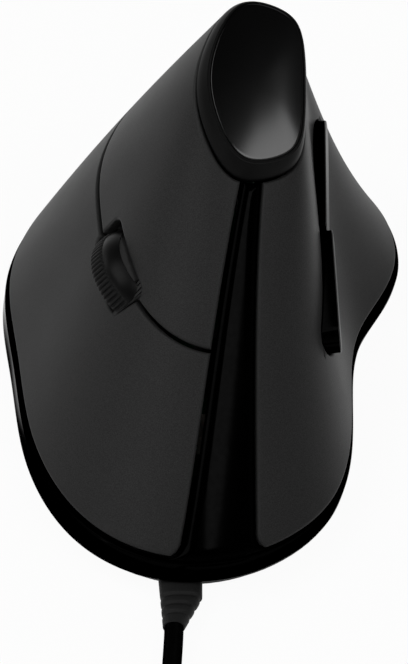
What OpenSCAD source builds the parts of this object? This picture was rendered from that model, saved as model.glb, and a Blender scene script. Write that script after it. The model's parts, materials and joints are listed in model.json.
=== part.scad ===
// Wired vertical mouse for the right hand.
// Frame: +X is the thumb side, -Y the front where the cord leaves, +Z up, desk at z = 0.

/* [Body] */
// Width of the skirt outline
body_w = 80.2; // [76:0.1:84]
// Length of the skirt outline
body_l = 119.3; // [115:0.1:124]
// Height of the skirt's lower edge above the desk
skirt_lift = 5.6; // [5.4:0.1:6.4]
// Height of the upright part of the skirt band at the front
skirt_h = 4.8; // [4.4:0.1:5.6]
// How much higher the band is on the finger side and lower on the thumb side
skirt_tilt = 1.2; // [0.8:0.1:1.6]
// Wall of the shells and the skirt
shell_t = 2; // [1.6:0.1:2.2]
// Crest centre, towards the thumb side
crest_x = 9.6; // [8:0.1:11]
// Crest centre, towards the back
crest_y = 11.4; // [9.5:0.1:13.5]
// Height of the crest centre
crest_z = 65.1; // [63:0.1:69]
// Tilt of the crest plane towards the front
crest_tilt = 32; // [29:0.5:35]
// Lean of the crest plane towards the thumb side
crest_lean = 14; // [10:0.5:18]
// Turn of the crest oval in its plane
crest_roll = 0; // [-3:0.5:5]

/* [Badge] */
// Width of the bezel's foot
ring_w = 21.8; // [21.2:0.1:23.5]
// Length of the bezel's foot
ring_l = 35.8; // [35:0.1:38]
// Width of the bezel's top edge
badge_w = 19.3; // [18:0.1:20]
// Length of the bezel's top edge
badge_l = 32.6; // [31:0.1:33.5]
// Squareness of the oval
oval_square = 0.029; // [0:0.001:0.05]
// Squareness that the thumb side has over it and the finger side under it
oval_bias = 0.052; // [0:0.001:0.06]
// Height of the top edge over the foot
badge_raise = 3; // [2.5:0.1:3.6]
// Sideways shift of the top edge
badge_shift_x = 0.45; // [0:0.05:0.8]
// Lengthways shift of the top edge
badge_shift_y = 1.2; // [0.6:0.05:1.5]
// Rim of the bezel round the window
badge_lip = 0.35; // [0.3:0.05:0.6]
// Ledge that carries the window
badge_ledge = 1.2; // [0.8:0.1:1.4]
// Thickness of the window
window_t = 1.6; // [1.2:0.1:1.8]

/* [Seams] */
// Width of the slit between the two main buttons
slit_w = 0.75; // [0.6:0.05:1]
// Gap that the main buttons leave at the spine and the skirt
press_gap = 0.75; // [0.7:0.05:0.9]
// Gap of the other panel seams
seam_gap = 0.45; // [0.35:0.05:0.6]
// Clearance of pieces that are fitted into each other
fit_gap = 0.1; // [0.05:0.01:0.15]
// Clearance of pins that turn or slide, on the radius
run_gap = 0.05; // [0.03:0.01:0.08]
// Width of the spine at the skirt
spine_foot_w = 14.4; // [11:0.1:16]
// Width of the spine at the crest
spine_crest_w = 3.3; // [3:0.1:5]
// Sideways place of the spine at the skirt
spine_foot_x = -0.6; // [-1.5:0.1:0.5]
// Sideways place of the spine at the crest
spine_crest_x = -0.25; // [-1:0.05:0.5]
// How far the spine bows to the finger side between them
spine_bow = 0.65; // [0:0.05:1]
// Corner radius of the panels beside the spine
corner_r = 3.6; // [2.5:0.1:4.5]

/* [Scroll wheel] */
// Diameter over the tread
wheel_d = 23; // [22:0.1:23.6]
// Width of the tread
wheel_w = 7; // [6:0.1:7.4]
// Height that the wheel stands out of the slit
wheel_proud = 3.5; // [3:0.1:4]
// Number of tread ribs
wheel_ribs = 72; // [56:1:80]
// Depth of the tread grooves
rib_depth = 0.4; // [0.3:0.05:0.7]
// Thickness of the tyre
tyre_t = 2; // [1.6:0.1:3]
// Diameter of the wheel axle
axle_d = 2.9; // [2.5:0.1:3.5]
// Thickness of the carrier's cheeks
cheek_t = 2; // [1.6:0.1:2.4]
// Diameter of the carrier's guide pins
guide_d = 2; // [1.6:0.1:2.4]

/* [Thumb buttons] */
// Height of a thumb button's face
thumb_h = 7.5; // [6.5:0.1:8]
// Height that a thumb button stands out of the cover
thumb_proud = 2.5; // [2:0.1:3]
// Gap between the two thumb buttons
thumb_gap = 0.7; // [0.6:0.05:1.2]

/* [Electronics] */
// Thickness of the circuit boards
board_t = 1.6; // [1.2:0.1:1.8]
// Depth of the finger board under the panel
finger_depth = 16.7; // [16.2:0.1:17.2]
// Depth of the thumb board under the cover
thumb_depth = 11; // [10.6:0.1:11.6]
// Height of the underside of the main board
main_board_z = 6.4; // [6:0.1:7]
// Length of a main button's switch
switch_l = 12.8; // [11:0.1:13]
// Width of a main button's switch
switch_w = 5.8; // [5:0.1:6]
// Height of a main button's switch
switch_h = 6.5; // [6:0.1:6.8]
// Side of the small push switches
tact_w = 6; // [5:0.1:6.4]
// Diameter of the switch plungers
plunger_d = 2.4; // [2:0.1:2.8]
// Play between a button's post and its plunger
plunger_play = 0.15; // [0.1:0.01:0.2]

/* [Base] */
// Thickness of the floor
floor_t = 1.6; // [1.4:0.1:1.8]
// Thickness of the glide feet
foot_t = 0.6; // [0.5:0.05:0.8]
// How far the base is set in under the skirt
base_inset = 4; // [3.5:0.1:4.5]
// Diameter of the case screws
screw_d = 2.5; // [2.2:0.1:2.8]
// Diameter of the screw heads
screw_head_d = 5.2; // [4.6:0.1:5.4]
// Diameter of the sensor window
sensor_hole_d = 10; // [9:0.1:11]

/* [Cord] */
// Diameter of the cord
cord_d = 3.6; // [3.4:0.1:3.7]
// Turns of the stowed coil
coil_turns = 11; // [7:4:11]
// Outer radius of the coil, at the cord's middle
coil_r = 26; // [24:0.5:28]
// Spacing of the coil's turns and layers
turn_pitch = 4.1; // [4.1:0.05:4.4]
// Width of the strain relief at the case
relief_w = 8.4; // [8:0.1:9]
// Height of the strain relief at the case
relief_h = 4.2; // [3.9:0.1:4.3]
// Depth of the strain relief's ribs
relief_rib = 0.3; // [0.2:0.05:0.4]

/* [Plug] */
// Length of the plug's grip
grip_l = 24; // [20:0.5:28]
// Width of the plug's grip
grip_w = 15; // [14:0.1:16]
// Height of the plug's grip
grip_h = 8; // [7.4:0.1:8.4]
// Length of the plug's metal shell
plug_l = 12; // [11.7:0.1:12.5]
// Width of the plug's metal shell
plug_w = 12; // [11.9:0.1:12.1]
// Height of the plug's metal shell
plug_h = 4.5; // [4.4:0.1:4.6]
// Wall of the plug's metal shell
plug_wall = 0.35; // [0.3:0.05:0.4]

/* [Hidden] */
$fn = 48;

// Control points of the skirt outline: front first, then the thumb side, back and finger side
foot_points = [[4.8, -60.4], [16.4, -55.1], [26.3, -44.9], [29.9, -29.1], [29.8, -11.9], [31.1, 3.2],
    [43.7, 20.4], [36.6, 46.1], [8.1, 61.8], [-17.1, 57.9], [-34, 37.3], [-41.8, 15.7], [-36.8, -7.6],
    [-34.7, -30], [-25.1, -50.7], [-10.1, -60.6]];
// How far each generator has come over to the crest at a third and at two thirds of its height
lower_lean = [.33, .36, .42, .50, .60, .74, .77, .42, .24, .23, .28, .35, .34, .33, .33, .33];
upper_lean = [.68, .70, .72, .75, .82, .94, .92, .61, .58, .60, .66, .68, .67, .66, .67, .67];
stations = len(foot_points);

// Places on the surface are pairs: station round the body, and share of the way up to the crest
wheel_at = [-3.14, 0.525];
left_post_at = [-2.74, 0.732];
right_post_at = [-3.63, 0.31];
back_at = [4.96, 0.52];
forward_at = [3.241, 0.415];
upper_boss_at = [3.55, 0.58];
lower_boss_at = [4.95, 0.26];
rear_seam = -6.6;
slit_rear = 0.487;
slit_front = 0.549;
slit_bend = -3.1;

function unit(v) = v / norm(v);
function lerp(a, b, t) = a + (b - a) * t;
function wrap(i, n) = ((i % n) + n) % n;
function column(list, c) = [for (v = list) v[c]];

// Closed uniform cubic spline through a ring of control values
function spline(tab, k) =
    let (n = len(tab), i = floor(k), t = k - i)
    pow(1 - t, 3) / 6 * tab[wrap(i - 1, n)]
    + (3 * pow(t, 3) - 6 * t * t + 4) / 6 * tab[wrap(i, n)]
    + (-3 * pow(t, 3) + 3 * t * t + 3 * t + 1) / 6 * tab[wrap(i + 1, n)]
    + pow(t, 3) / 6 * tab[wrap(i + 2, n)];

// Skirt outline, stretched to the body's width and length and centred on the origin
outline_steps = 256;
raw_outline = [for (i = [0:outline_steps - 1]) spline(foot_points, i * stations / outline_steps)];
raw_x = column(raw_outline, 0);
raw_y = column(raw_outline, 1);
raw_mid = [(max(raw_x) + min(raw_x)) / 2, (max(raw_y) + min(raw_y)) / 2];
raw_size = [max(raw_x) - min(raw_x), max(raw_y) - min(raw_y)];
function foot(k) =
    let (p = spline(foot_points, k) - raw_mid)
    [p[0] * body_w / raw_size[0], p[1] * body_l / raw_size[1]];
function foot_normal(k) =
    let (d = unit(foot(k + 0.02) - foot(k - 0.02)))
    [d[1], -d[0]];
function inset_foot(k, inset) = foot(k) - inset * foot_normal(k);
function inset_outline(inset, n = 96) = [for (i = [0:n - 1]) inset_foot(i * stations / n, inset)];

// Crest plane: p across, q up the slope, n out of it
crest_c = [crest_x, crest_y, crest_z];
slope_q = [0, cos(crest_tilt), sin(crest_tilt)];
lean_p = [cos(crest_lean), 0, -sin(crest_lean)];
flat_p = unit(lean_p - slope_q * (lean_p * slope_q));
crest_n = cross(flat_p, slope_q);
crest_p = flat_p * cos(crest_roll) - slope_q * sin(crest_roll);
crest_q = slope_q * cos(crest_roll) + flat_p * sin(crest_roll);
function flat_oval(a, b, k) =
    let (t = 360 * k / stations, e = oval_square + oval_bias * sin(t))
    [a * (sin(t) + e * sin(3 * t)), -b * (cos(t) - e * cos(3 * t))];
function oval(c, a, b, k) =
    let (o = flat_oval(a, b, k))
    c + crest_p * o[0] + crest_q * o[1];
function rim(k) = oval(crest_c, ring_w / 2, ring_l / 2, k);

// Body surface over station k and height share h, and its outward normal
function skirt_top(k) = skirt_lift + skirt_h - skirt_tilt * sin(360 * k / stations);
function skin(k, h) =
    let (b = foot(k), t = rim(k), g = 1 - h)
    let (w = 3 * g * g * h * spline(lower_lean, k) + 3 * g * h * h * spline(upper_lean, k) + pow(h, 3))
    [lerp(b[0], t[0], w), lerp(b[1], t[1], w), lerp(skirt_top(k), t[2], h)];
function along(k, h) = (skin(k + 0.02, h) - skin(k - 0.02, h)) / 0.04;
function upward(k, h) = (skin(k, h + 0.005) - skin(k, h - 0.005)) / 0.01;
function outward(k, h) = unit(cross(along(k, h), upward(k, h)));
function inside(k, h, depth) = skin(k, h) - depth * outward(k, h);
function station_gap(k, h, gap) = gap / norm(along(k, h));
function height_gap(k, h, gap) = gap / norm(upward(k, h));

// Seams of the panels
function skirt_edge(k) = 0.009 - 0.003 * sin(360 * k / stations);
function corner(h) =
    let (rise = height_gap(0, skirt_edge(0), corner_r), d = (skirt_edge(0) + rise - h) / rise)
    d <= 0 ? 0 : station_gap(0, h, corner_r) * (1 - sqrt(max(0, 1 - min(1, d) * min(1, d))));
corner_top = skirt_edge(0) + height_gap(0, skirt_edge(0), corner_r);
corner_rows = 4;
function row_height(lo, hi, j, nt) =
    lo > corner_top ? lerp(lo, hi, j / nt)
    : j < corner_rows ? lerp(lo, corner_top, 1 - cos(90 * j / corner_rows))
    : lerp(corner_top, hi, (j - corner_rows) / (nt - corner_rows));
spine_taper = 0.85;
function bow(h) = 27 / 4 * h * h * (1 - h);
function spine_mid(h) = station_gap(0, h, lerp(spine_foot_x, spine_crest_x, h) - spine_bow * bow(h));
function spine_half(h) =
    station_gap(0, h, lerp(spine_foot_w, spine_crest_w, pow(max(0, h), spine_taper)) / 2) + corner(h);
function spine_left(h) = spine_mid(h) - spine_half(h);
function spine_right(h) = spine_mid(h) + spine_half(h);
function slit(k) =
    let (t = min(1, max(0, (k - slit_bend) / 1.6 + 0.5)))
    lerp(slit_rear, slit_front, t * t * (3 - 2 * t));
function crest_edge(k) = 1 - height_gap(k, 1, seam_gap);

// Shell patch: left and right edges are functions of h, lower and upper edges of the station
function patch(kl, kr, hl, hu, ns, nt, depth) =
    [for (j = [0:nt], i = [0:ns])
        let (k0 = lerp(kl(0.5), kr(0.5), i / ns))
        let (h = row_height(hl(k0), hu(k0), j, nt))
        inside(lerp(kl(h), kr(h), i / ns), h, depth)];
function pair(a, b, c, d) = [[a, b, c], [a, c, d]];
function flat(list) = [for (l = list, e = l) e];
function sheet_faces(ns, nt, o, n) =
    let (w = ns + 1)
    flat(concat(
        [for (j = [0:nt - 1], i = [0:ns - 1])
            let (a = j * w + i)
            pair(o + a, o + a + w, o + a + w + 1, o + a + 1)],
        [for (j = [0:nt - 1], i = [0:ns - 1])
            let (a = j * w + i)
            pair(n + a, n + a + 1, n + a + w + 1, n + a + w)]));
function edge_faces(ns, nt, o, n, bottom = true) =
    let (w = ns + 1, t = nt * w)
    flat(concat(
        bottom ? [for (i = [0:ns - 1]) pair(o + i, o + i + 1, n + i + 1, n + i)] : [],
        [for (i = [0:ns - 1]) pair(o + t + i + 1, o + t + i, n + t + i, n + t + i + 1)],
        [for (j = [0:nt - 1]) pair(o + j * w + w, o + j * w, n + j * w, n + j * w + w)],
        [for (j = [0:nt - 1])
            let (a = j * w + ns)
            pair(o + a, o + a + w, n + a + w, n + a)]));
module shell(kl, kr, hl, hu, ns, nt) {
    outer = patch(kl, kr, hl, hu, ns, nt, 0);
    inner = patch(kl, kr, hl, hu, ns, nt, shell_t);
    m = len(outer);
    polyhedron(concat(outer, inner), concat(sheet_faces(ns, nt, 0, m), edge_faces(ns, nt, 0, m)));
}

// Closed ring from one profile of points per station
function ring_faces(n, m, skip = 0, skip_at = -1) =
    flat([for (i = [0:n - 1], p = [0:m - 1])
        if (!(p == skip_at && i < skip))
            let (j = (i + 1) % n, r = (p + 1) % m)
            pair(i * m + p, i * m + r, j * m + r, j * m + p)]);

// Solid lofted through loops of points, each counterclockwise seen from the last one
module loft(loops) {
    n = len(loops[0]);
    m = len(loops);
    sides = flat([for (j = [0:m - 2], i = [0:n - 1])
        let (a = j * n + i, b = j * n + (i + 1) % n)
        pair(a, a + n, b + n, b)]);
    top = (m - 1) * n;
    first = [for (i = [1:n - 2]) [0, i, i + 1]];
    last = [for (i = [1:n - 2]) [top, top + i + 1, top + i]];
    polyhedron(flat(loops), concat(sides, first, last));
}

// Loop of a swept tube, square to the direction t
function tube_loop(c, t, a, b, n) =
    let (e1 = unit(cross([0, 0, 1], t)), e2 = cross(t, e1))
    [for (i = [0:n - 1]) c + e1 * a * cos(360 * i / n) + e2 * b * sin(360 * i / n)];
function route_dir(route, i, first, last) =
    i == 0 ? first : i == len(route) - 1 ? last : unit(route[i + 1] - route[i - 1]);
module tube(route, first, last, r, n = 8) {
    loft([for (i = [0:len(route) - 1]) tube_loop(route[i], route_dir(route, i, first, last), r, r, n)]);
}

// Local frames: x and y in the panel, z out of it
module place(o, x, y, z) {
    multmatrix([[x[0], y[0], z[0], o[0]], [x[1], y[1], z[1], o[1]], [x[2], y[2], z[2], o[2]], [0, 0, 0, 1]])
        children();
}
finger_o = skin(wheel_at[0], wheel_at[1]);
finger_n = outward(wheel_at[0], wheel_at[1]);
finger_x = unit(along(wheel_at[0], wheel_at[1]));
finger_y = cross(finger_n, finger_x);
module finger_local() { place(finger_o, finger_x, finger_y, finger_n) children(); }
function finger_xyz(p) = [(p - finger_o) * finger_x, (p - finger_o) * finger_y, (p - finger_o) * finger_n];

back_o = skin(back_at[0], back_at[1]);
forward_o = skin(forward_at[0], forward_at[1]);
thumb_pitch = norm(forward_o - back_o);
thumb_o = (back_o + forward_o) / 2;
thumb_n = unit(outward(back_at[0], back_at[1]) + outward(forward_at[0], forward_at[1]));
thumb_x = unit(forward_o - back_o - thumb_n * ((forward_o - back_o) * thumb_n));
thumb_y = cross(thumb_n, thumb_x);
module thumb_local() { place(thumb_o, thumb_x, thumb_y, thumb_n) children(); }
function thumb_xyz(p) = [(p - thumb_o) * thumb_x, (p - thumb_o) * thumb_y, (p - thumb_o) * thumb_n];
module thumb_button_local(at) {
    n = outward(at[0], at[1]);
    x = unit(thumb_x - n * (thumb_x * n));
    place(skin(at[0], at[1]), x, cross(n, x), n) children();
}

module box(lo, hi) {
    translate(lo)
        cube(hi - lo);
}
module round_section(w, h, r) {
    square([w - 2 * r, h], center = true);
    square([w, h - 2 * r], center = true);
    for (x = [-1, 1], y = [-1, 1])
        translate([x * (w / 2 - r), y * (h / 2 - r)])
            circle(r = r);
}

// Base
floor_z = foot_t;
floor_top = floor_z + floor_t;
tongue_h = 1.8;
tongue_t = 1.8;
flange_t = 1.2;
flange_inset = 1;
base_wall_t = 2;
boss_r = 3;
boss_rib_t = 3;
boss_inset = base_inset + 4;
boss_stations = [2, 6.4, 10.2, 13.8];
boss_top = min([for (k = boss_stations) skirt_top(k)]) - 0.8;
boss_places = [for (k = boss_stations) inset_foot(k, boss_inset)];
screw_seat = floor_z + 2;
screw_tip = boss_top - 0.9;
screw_play = 0.3;
screw_pad_r = screw_head_d / 2 + screw_play + 1;
leg_pad_z = screw_seat + 2;
leg_w = 6;
leg_x = [-17, 9];
leg_y = -14.5;
leg_places = [for (x = leg_x) finger_o + x * finger_x + leg_y * finger_y - finger_depth * finger_n];
screw_places = concat(boss_places, [for (p = leg_places) [p[0], p[1]]]);
pillar_r = 2.4;
pillar_bore_d = 2;
board_front = 24.65;
board_lo = [-7, board_front - body_l / 2];
board_hi = [21, 12];
pillar_edge = 3;
pillar_places = [for (x = [board_lo[0] + pillar_edge, board_hi[0] - pillar_edge],
    y = [board_lo[1] + pillar_edge, board_hi[1] - pillar_edge]) [x, y]];
sensor_at = [5, -8];

// Cable gate in the base's front wall, and the strain relief in it
relief_x = -4.3;
relief_z = floor_top + 1.1;
gate_proud = 0.6;
gate_y = -body_l / 2 + base_inset - gate_proud;
gate_depth = 4.6;
gate_w = 13;
tenon = [6.4, 3.2];

module slab(inset, z0, z1) {
    translate([0, 0, z0])
        linear_extrude(z1 - z0)
            polygon(inset_outline(inset));
}
module band(outer, inner, z0, z1) {
    translate([0, 0, z0])
        linear_extrude(z1 - z0)
            difference() {
                polygon(inset_outline(outer));
                polygon(inset_outline(inner));
            }
}
module boss_shape(z0, z1, grow) {
    for (k = boss_stations) {
        p = inset_foot(k, boss_inset);
        n = foot_normal(k);
        translate([p[0], p[1], z0])
            rotate(atan2(n[1], n[0])) {
                cylinder(r = boss_r + grow, h = z1 - z0);
                translate([0, -boss_rib_t / 2 - grow, 0])
                    cube([boss_inset - shell_t / 2, boss_rib_t + 2 * grow, z1 - z0]);
            }
    }
}
module base_plate() {
    tongue_in = shell_t + fit_gap;
    color("#17181a")
        difference() {
            union() {
                slab(base_inset, floor_z, floor_top);
                band(base_inset, base_inset + base_wall_t, floor_top, skirt_lift);
                band(flange_inset, base_inset + base_wall_t, skirt_lift - flange_t, skirt_lift);
                difference() {
                    band(tongue_in, tongue_in + tongue_t, skirt_lift, skirt_lift + tongue_h);
                    boss_shape(skirt_lift - 1, skirt_lift + tongue_h + 1, 3 * fit_gap);
                }
                for (p = boss_places)
                    translate([p[0], p[1], floor_z])
                        cylinder(r = screw_pad_r, h = skirt_lift - floor_z);
                for (p = leg_places)
                    translate([p[0], p[1], floor_z])
                        cylinder(r = screw_pad_r, h = leg_pad_z - floor_z);
                for (p = pillar_places)
                    translate([p[0], p[1], floor_z])
                        cylinder(r = pillar_r, h = main_board_z - floor_z);
                intersection() {
                    box([relief_x - gate_w / 2, gate_y, floor_z],
                        [relief_x + gate_w / 2, gate_y + gate_depth, skirt_lift]);
                    slab(base_inset - gate_proud, floor_top, skirt_lift);
                }
            }
            for (p = screw_places)
                translate([p[0], p[1], floor_z - 1]) {
                    cylinder(d = screw_d + 2 * screw_play, h = skirt_lift + tongue_h);
                    cylinder(d = screw_head_d + 2 * screw_play, h = screw_seat - floor_z + 1);
                }
            for (p = pillar_places)
                translate([p[0], p[1], floor_top])
                    cylinder(d = pillar_bore_d, h = main_board_z);
            translate([sensor_at[0], sensor_at[1], floor_z - 1])
                cylinder(d = sensor_hole_d, h = floor_t + 2);
            box([relief_x - relief_w / 2 - 3 * fit_gap, -body_l / 2, floor_top],
                [relief_x + relief_w / 2 + 3 * fit_gap, gate_y, skirt_lift]);
            translate([relief_x, gate_y + gate_depth / 2, relief_z])
                cube([tenon[0] + 2 * fit_gap, gate_depth + 6, tenon[1] + 2 * fit_gap], center = true);
        }
}

// Skirt band and spine in one gloss moulding
spine_cols = 8;
spine_rows = 16;
skirt_cols = 88;
function skirt_station(i) =
    let (l = spine_left(skirt_edge(0)), r = spine_right(skirt_edge(0)))
    i <= spine_cols ? lerp(l, r, i / spine_cols) : lerp(r, l + stations, (i - spine_cols) / skirt_cols);
function skirt_profile(k) =
    let (o = foot(k), n = inset_foot(k, shell_t), e = skirt_edge(k))
    [[o[0], o[1], skirt_lift], [o[0], o[1], skirt_top(k)], skin(k, e), inside(k, e, shell_t),
        [n[0], n[1], skirt_top(k) - shell_t / 2], [n[0], n[1], skirt_lift]];
function spine_row(j, depth) =
    [for (i = [0:spine_cols])
        let (k0 = skirt_station(i), h = row_height(skirt_edge(k0), crest_edge(0), j, spine_rows))
        inside(lerp(spine_left(h), spine_right(h), i / spine_cols), h, depth)];
module gloss_frame() {
    n = spine_cols + skirt_cols;
    ring = flat([for (i = [0:n - 1]) skirt_profile(skirt_station(i))]);
    outer = flat([for (j = [1:spine_rows]) spine_row(j, 0)]);
    inner = flat([for (j = [1:spine_rows]) spine_row(j, shell_t)]);
    w = spine_cols + 1;
    o = 6 * n;
    d = o + len(outer);
    first_rows = flat(concat(
        [for (i = [0:spine_cols - 1]) pair(6 * i + 2, o + i, o + i + 1, 6 * i + 8)],
        [for (i = [0:spine_cols - 1]) pair(6 * i + 3, 6 * i + 9, d + i + 1, d + i)],
        [pair(o, 2, 3, d)],
        [pair(6 * spine_cols + 2, o + spine_cols, d + spine_cols, 6 * spine_cols + 3)]));
    color("#050506")
        difference() {
            union() {
                polyhedron(concat(ring, outer, inner), concat(ring_faces(n, 6, spine_cols, 2), first_rows,
                    sheet_faces(spine_cols, spine_rows - 1, o, d),
                    edge_faces(spine_cols, spine_rows - 1, o, d, false)));
                boss_shape(skirt_lift, boss_top, 0);
            }
            for (p = boss_places)
                translate([p[0], p[1], skirt_lift - 1])
                    cylinder(d = screw_d + 2 * run_gap, h = boss_top - skirt_lift + 0.4);
        }
}

// Round post from the wall at a place on the surface to a depth along a panel's normal
module post(at, o, n, depth, r) {
    p = inside(at[0], at[1], shell_t / 2);
    reach = (p - o) * n + depth;
    x = unit(cross([0, 1, 0], n));
    place(p - reach * n, x, cross(n, x), n)
        cylinder(r = r, h = reach);
}
post_r = 2;
plunger_out = 0.9;
post_depth = finger_depth - switch_h - plunger_out - plunger_play;

// Wheel slot in the panels, with room for the wheel where the panels are thick
wheel_play = 0.5;
wheel_room = 0.5;
slot_rear = 10.4;
slot_front = 8.9;
slot_r = 0.8;
slot_deep = 8;
module wheel_slot() {
    w = wheel_w + 2 * wheel_play;
    finger_local() {
        translate([(slot_front - slot_rear) / 2, 0, -slot_deep])
            linear_extrude(2 * slot_deep)
                round_section(slot_rear + slot_front, w, slot_r);
        translate([0, 0, axle_z])
            rotate([90, 0, 0])
                cylinder(d = wheel_d + 2 * wheel_room, h = w, center = true);
    }
}
module left_button() {
    color("#34363a")
        difference() {
            union() {
                shell(function(h) rear_seam + station_gap(rear_seam, h, seam_gap),
                    function(h) spine_left(h) - station_gap(0, h, press_gap),
                    function(k) slit(k) + height_gap(k, slit(k), slit_w / 2),
                    function(k) crest_edge(k), 24, 12);
                post(left_post_at, finger_o, finger_n, post_depth, post_r);
            }
            wheel_slot();
        }
}
module right_button() {
    color("#303236")
        difference() {
            union() {
                shell(function(h) rear_seam + station_gap(rear_seam, h, seam_gap),
                    function(h) spine_left(h) - station_gap(0, h, press_gap),
                    function(k) skirt_edge(k) + height_gap(k, skirt_edge(k), press_gap),
                    function(k) slit(k) - height_gap(k, slit(k), slit_w / 2), 26, 14);
                post(right_post_at, finger_o, finger_n, post_depth, post_r);
            }
            wheel_slot();
        }
}

// Thumb buttons: a round outer end, and an inner end beside the other button
thumb_l = thumb_pitch - thumb_gap;
thumb_inner_r = 1;
thumb_slot_play = 0.3;
thumb_flange = 0.9;
thumb_flange_z = shell_t + 0.7;
thumb_flange_t = 1;
thumb_flange_share = 0.36;
function thumb_outline(s, grow) =
    let (r = thumb_h / 2, c = thumb_inner_r)
    let (pts = concat(
        [for (a = [-90:15:90]) [thumb_l / 2 - r + (r + grow) * cos(a), (r + grow) * sin(a)]],
        [for (a = [90:30:180]) [-thumb_l / 2 + c + (c + grow) * cos(a), r - c + (c + grow) * sin(a)]],
        [for (a = [180:30:270]) [-thumb_l / 2 + c + (c + grow) * cos(a), c - r + (c + grow) * sin(a)]]))
    s > 0 ? pts : [for (i = [len(pts) - 1:-1:0]) [-pts[i][0], pts[i][1]]];
function raised(loop, z) = [for (p = loop) [p[0], p[1], z]];
thumb_plunger_z = -thumb_depth + 4.5;
thumb_post_r = 1.5;
module thumb_button(at, s) {
    bottom = -thumb_flange_z - thumb_flange_t;
    lip = -thumb_flange_z;
    color("#060607")
        union() {
            thumb_button_local(at)
                loft([raised(thumb_outline(s, 0), bottom), raised(thumb_outline(s, 0), thumb_proud - 1),
                    raised(thumb_outline(s, -0.15), thumb_proud - 0.5),
                    raised(thumb_outline(s, -0.5), thumb_proud - 0.15),
                    raised(thumb_outline(s, -0.95), thumb_proud)]);
            thumb_button_local(at)
                for (y = [-1, 1])
                    translate([0, y * thumb_h / 2, (bottom + lip) / 2])
                        cube([thumb_l * thumb_flange_share, 2 * thumb_flange, thumb_flange_t], center = true);
            thumb_local()
                translate([s * thumb_pitch / 2, 0, thumb_plunger_z + plunger_play])
                    cylinder(r = thumb_post_r, h = lip + 1 - thumb_plunger_z - plunger_play);
        }
}
module back_button() { thumb_button(back_at, -1); }
module forward_button() { thumb_button(forward_at, 1); }

// Cover over the thumb side and the back
thumb_boss_r = 2.2;
module hand_cover() {
    color("#2c2e31")
        difference() {
            union() {
                shell(function(h) spine_right(h) + station_gap(0, h, seam_gap),
                    function(h) rear_seam + stations,
                    function(k) skirt_edge(k) + height_gap(k, skirt_edge(k), seam_gap),
                    function(k) crest_edge(k), 42, 17);
                for (at = [upper_boss_at, lower_boss_at])
                    post(at, thumb_o, thumb_n, thumb_depth, thumb_boss_r);
            }
            thumb_button_local(back_at)
                translate([0, 0, -6])
                    linear_extrude(12)
                        polygon(thumb_outline(-1, thumb_slot_play));
            thumb_button_local(forward_at)
                translate([0, 0, -6])
                    linear_extrude(12)
                        polygon(thumb_outline(1, thumb_slot_play));
            thumb_local()
                cube([thumb_gap + 4, thumb_h, 12], center = true);
        }
}

// Badge on the crest
badge_c = crest_c + crest_n * badge_raise + crest_p * badge_shift_x + crest_q * badge_shift_y;
badge_steps = 48;
function badge_profile(k) =
    let (a = badge_w / 2, b = badge_l / 2, low = badge_c - crest_n * window_t, d = badge_lip + badge_ledge)
    [rim(k), oval(badge_c, a, b, k), oval(badge_c, a - badge_lip, b - badge_lip, k),
        oval(low, a - badge_lip, b - badge_lip, k), oval(low, a - d, b - d, k),
        rim(k) - outward(k, 1) * shell_t];
module badge_bezel() {
    color("#1c1d1f")
        polyhedron(flat([for (i = [0:badge_steps - 1]) badge_profile(i * stations / badge_steps)]),
            ring_faces(badge_steps, 6));
}
module badge_window() {
    a = badge_w / 2 - badge_lip - fit_gap;
    b = badge_l / 2 - badge_lip - fit_gap;
    color("#020202")
        place(badge_c - crest_n * window_t, crest_p, crest_q, crest_n)
            translate([0, 0, press_fit])
                linear_extrude(window_t - press_fit)
                    polygon([for (i = [0:badge_steps - 1]) flat_oval(a, b, i * stations / badge_steps)]);
}

// Scroll wheel and its carrier
axle_z = wheel_proud - wheel_d / 2;
hub_r = wheel_d / 2 - tyre_t;
cheek_y = wheel_w / 2 + 0.9;
axle_l = 2 * (cheek_y + cheek_t + 1);
bar_x = -15;
bar_half = 2;
bar_z = [-9, -6.7];
cheek_h = 5;
cheek_end = 4;
guide_top = -5.7;
lug_y = 9;
lug_r = 2;
press_fit = 0.02;
module wheel_local() {
    finger_local()
        translate([0, 0, axle_z])
            rotate([90, 0, 0])
                children();
}
function tread(i) =
    let (r = wheel_d / 2, p = 360 / wheel_ribs, a = i * p)
    [for (v = [[r, 0], [r, 0.5], [r - rib_depth, 0.62], [r - rib_depth, 0.88]])
        v[0] * [cos(a + v[1] * p), sin(a + v[1] * p)]];
module wheel_tyre() {
    color("#141416")
        wheel_local()
            linear_extrude(wheel_w, center = true)
                difference() {
                    polygon(flat([for (i = [0:wheel_ribs - 1]) tread(i)]));
                    circle(r = hub_r + press_fit);
                }
}
module wheel_hub() {
    color("#26272a")
        wheel_local()
            difference() {
                cylinder(r = hub_r, h = wheel_w - 0.6, center = true);
                cylinder(r = axle_d / 2 + press_fit, h = wheel_w, center = true);
            }
}
module wheel_axle() {
    color("#a8abb0")
        wheel_local()
            cylinder(d = axle_d, h = axle_l, center = true);
}
module wheel_carrier() {
    color("#3c3f44")
        difference() {
            finger_local()
                union() {
                    for (s = [-1, 1])
                        translate([(bar_x - bar_half + cheek_end) / 2, s * (cheek_y + cheek_t / 2), axle_z])
                            cube([cheek_end + bar_half - bar_x, cheek_t, cheek_h], center = true);
                    box([bar_x - bar_half, -lug_y, bar_z[0]], [bar_x + bar_half, lug_y, bar_z[1]]);
                    for (s = [-1, 1])
                        translate([bar_x, s * lug_y, bar_z[0]])
                            cylinder(r = lug_r, h = bar_z[1] - bar_z[0]);
                }
            wheel_local()
                cylinder(d = axle_d + 2 * run_gap, h = 2 * axle_l, center = true);
            finger_local()
                for (s = [-1, 1])
                    translate([bar_x, s * lug_y, bar_z[0] - 1])
                        cylinder(d = guide_d + 2 * run_gap, h = bar_z[1] - bar_z[0] + 2);
        }
}
encoder_t = 3.6;
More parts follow.
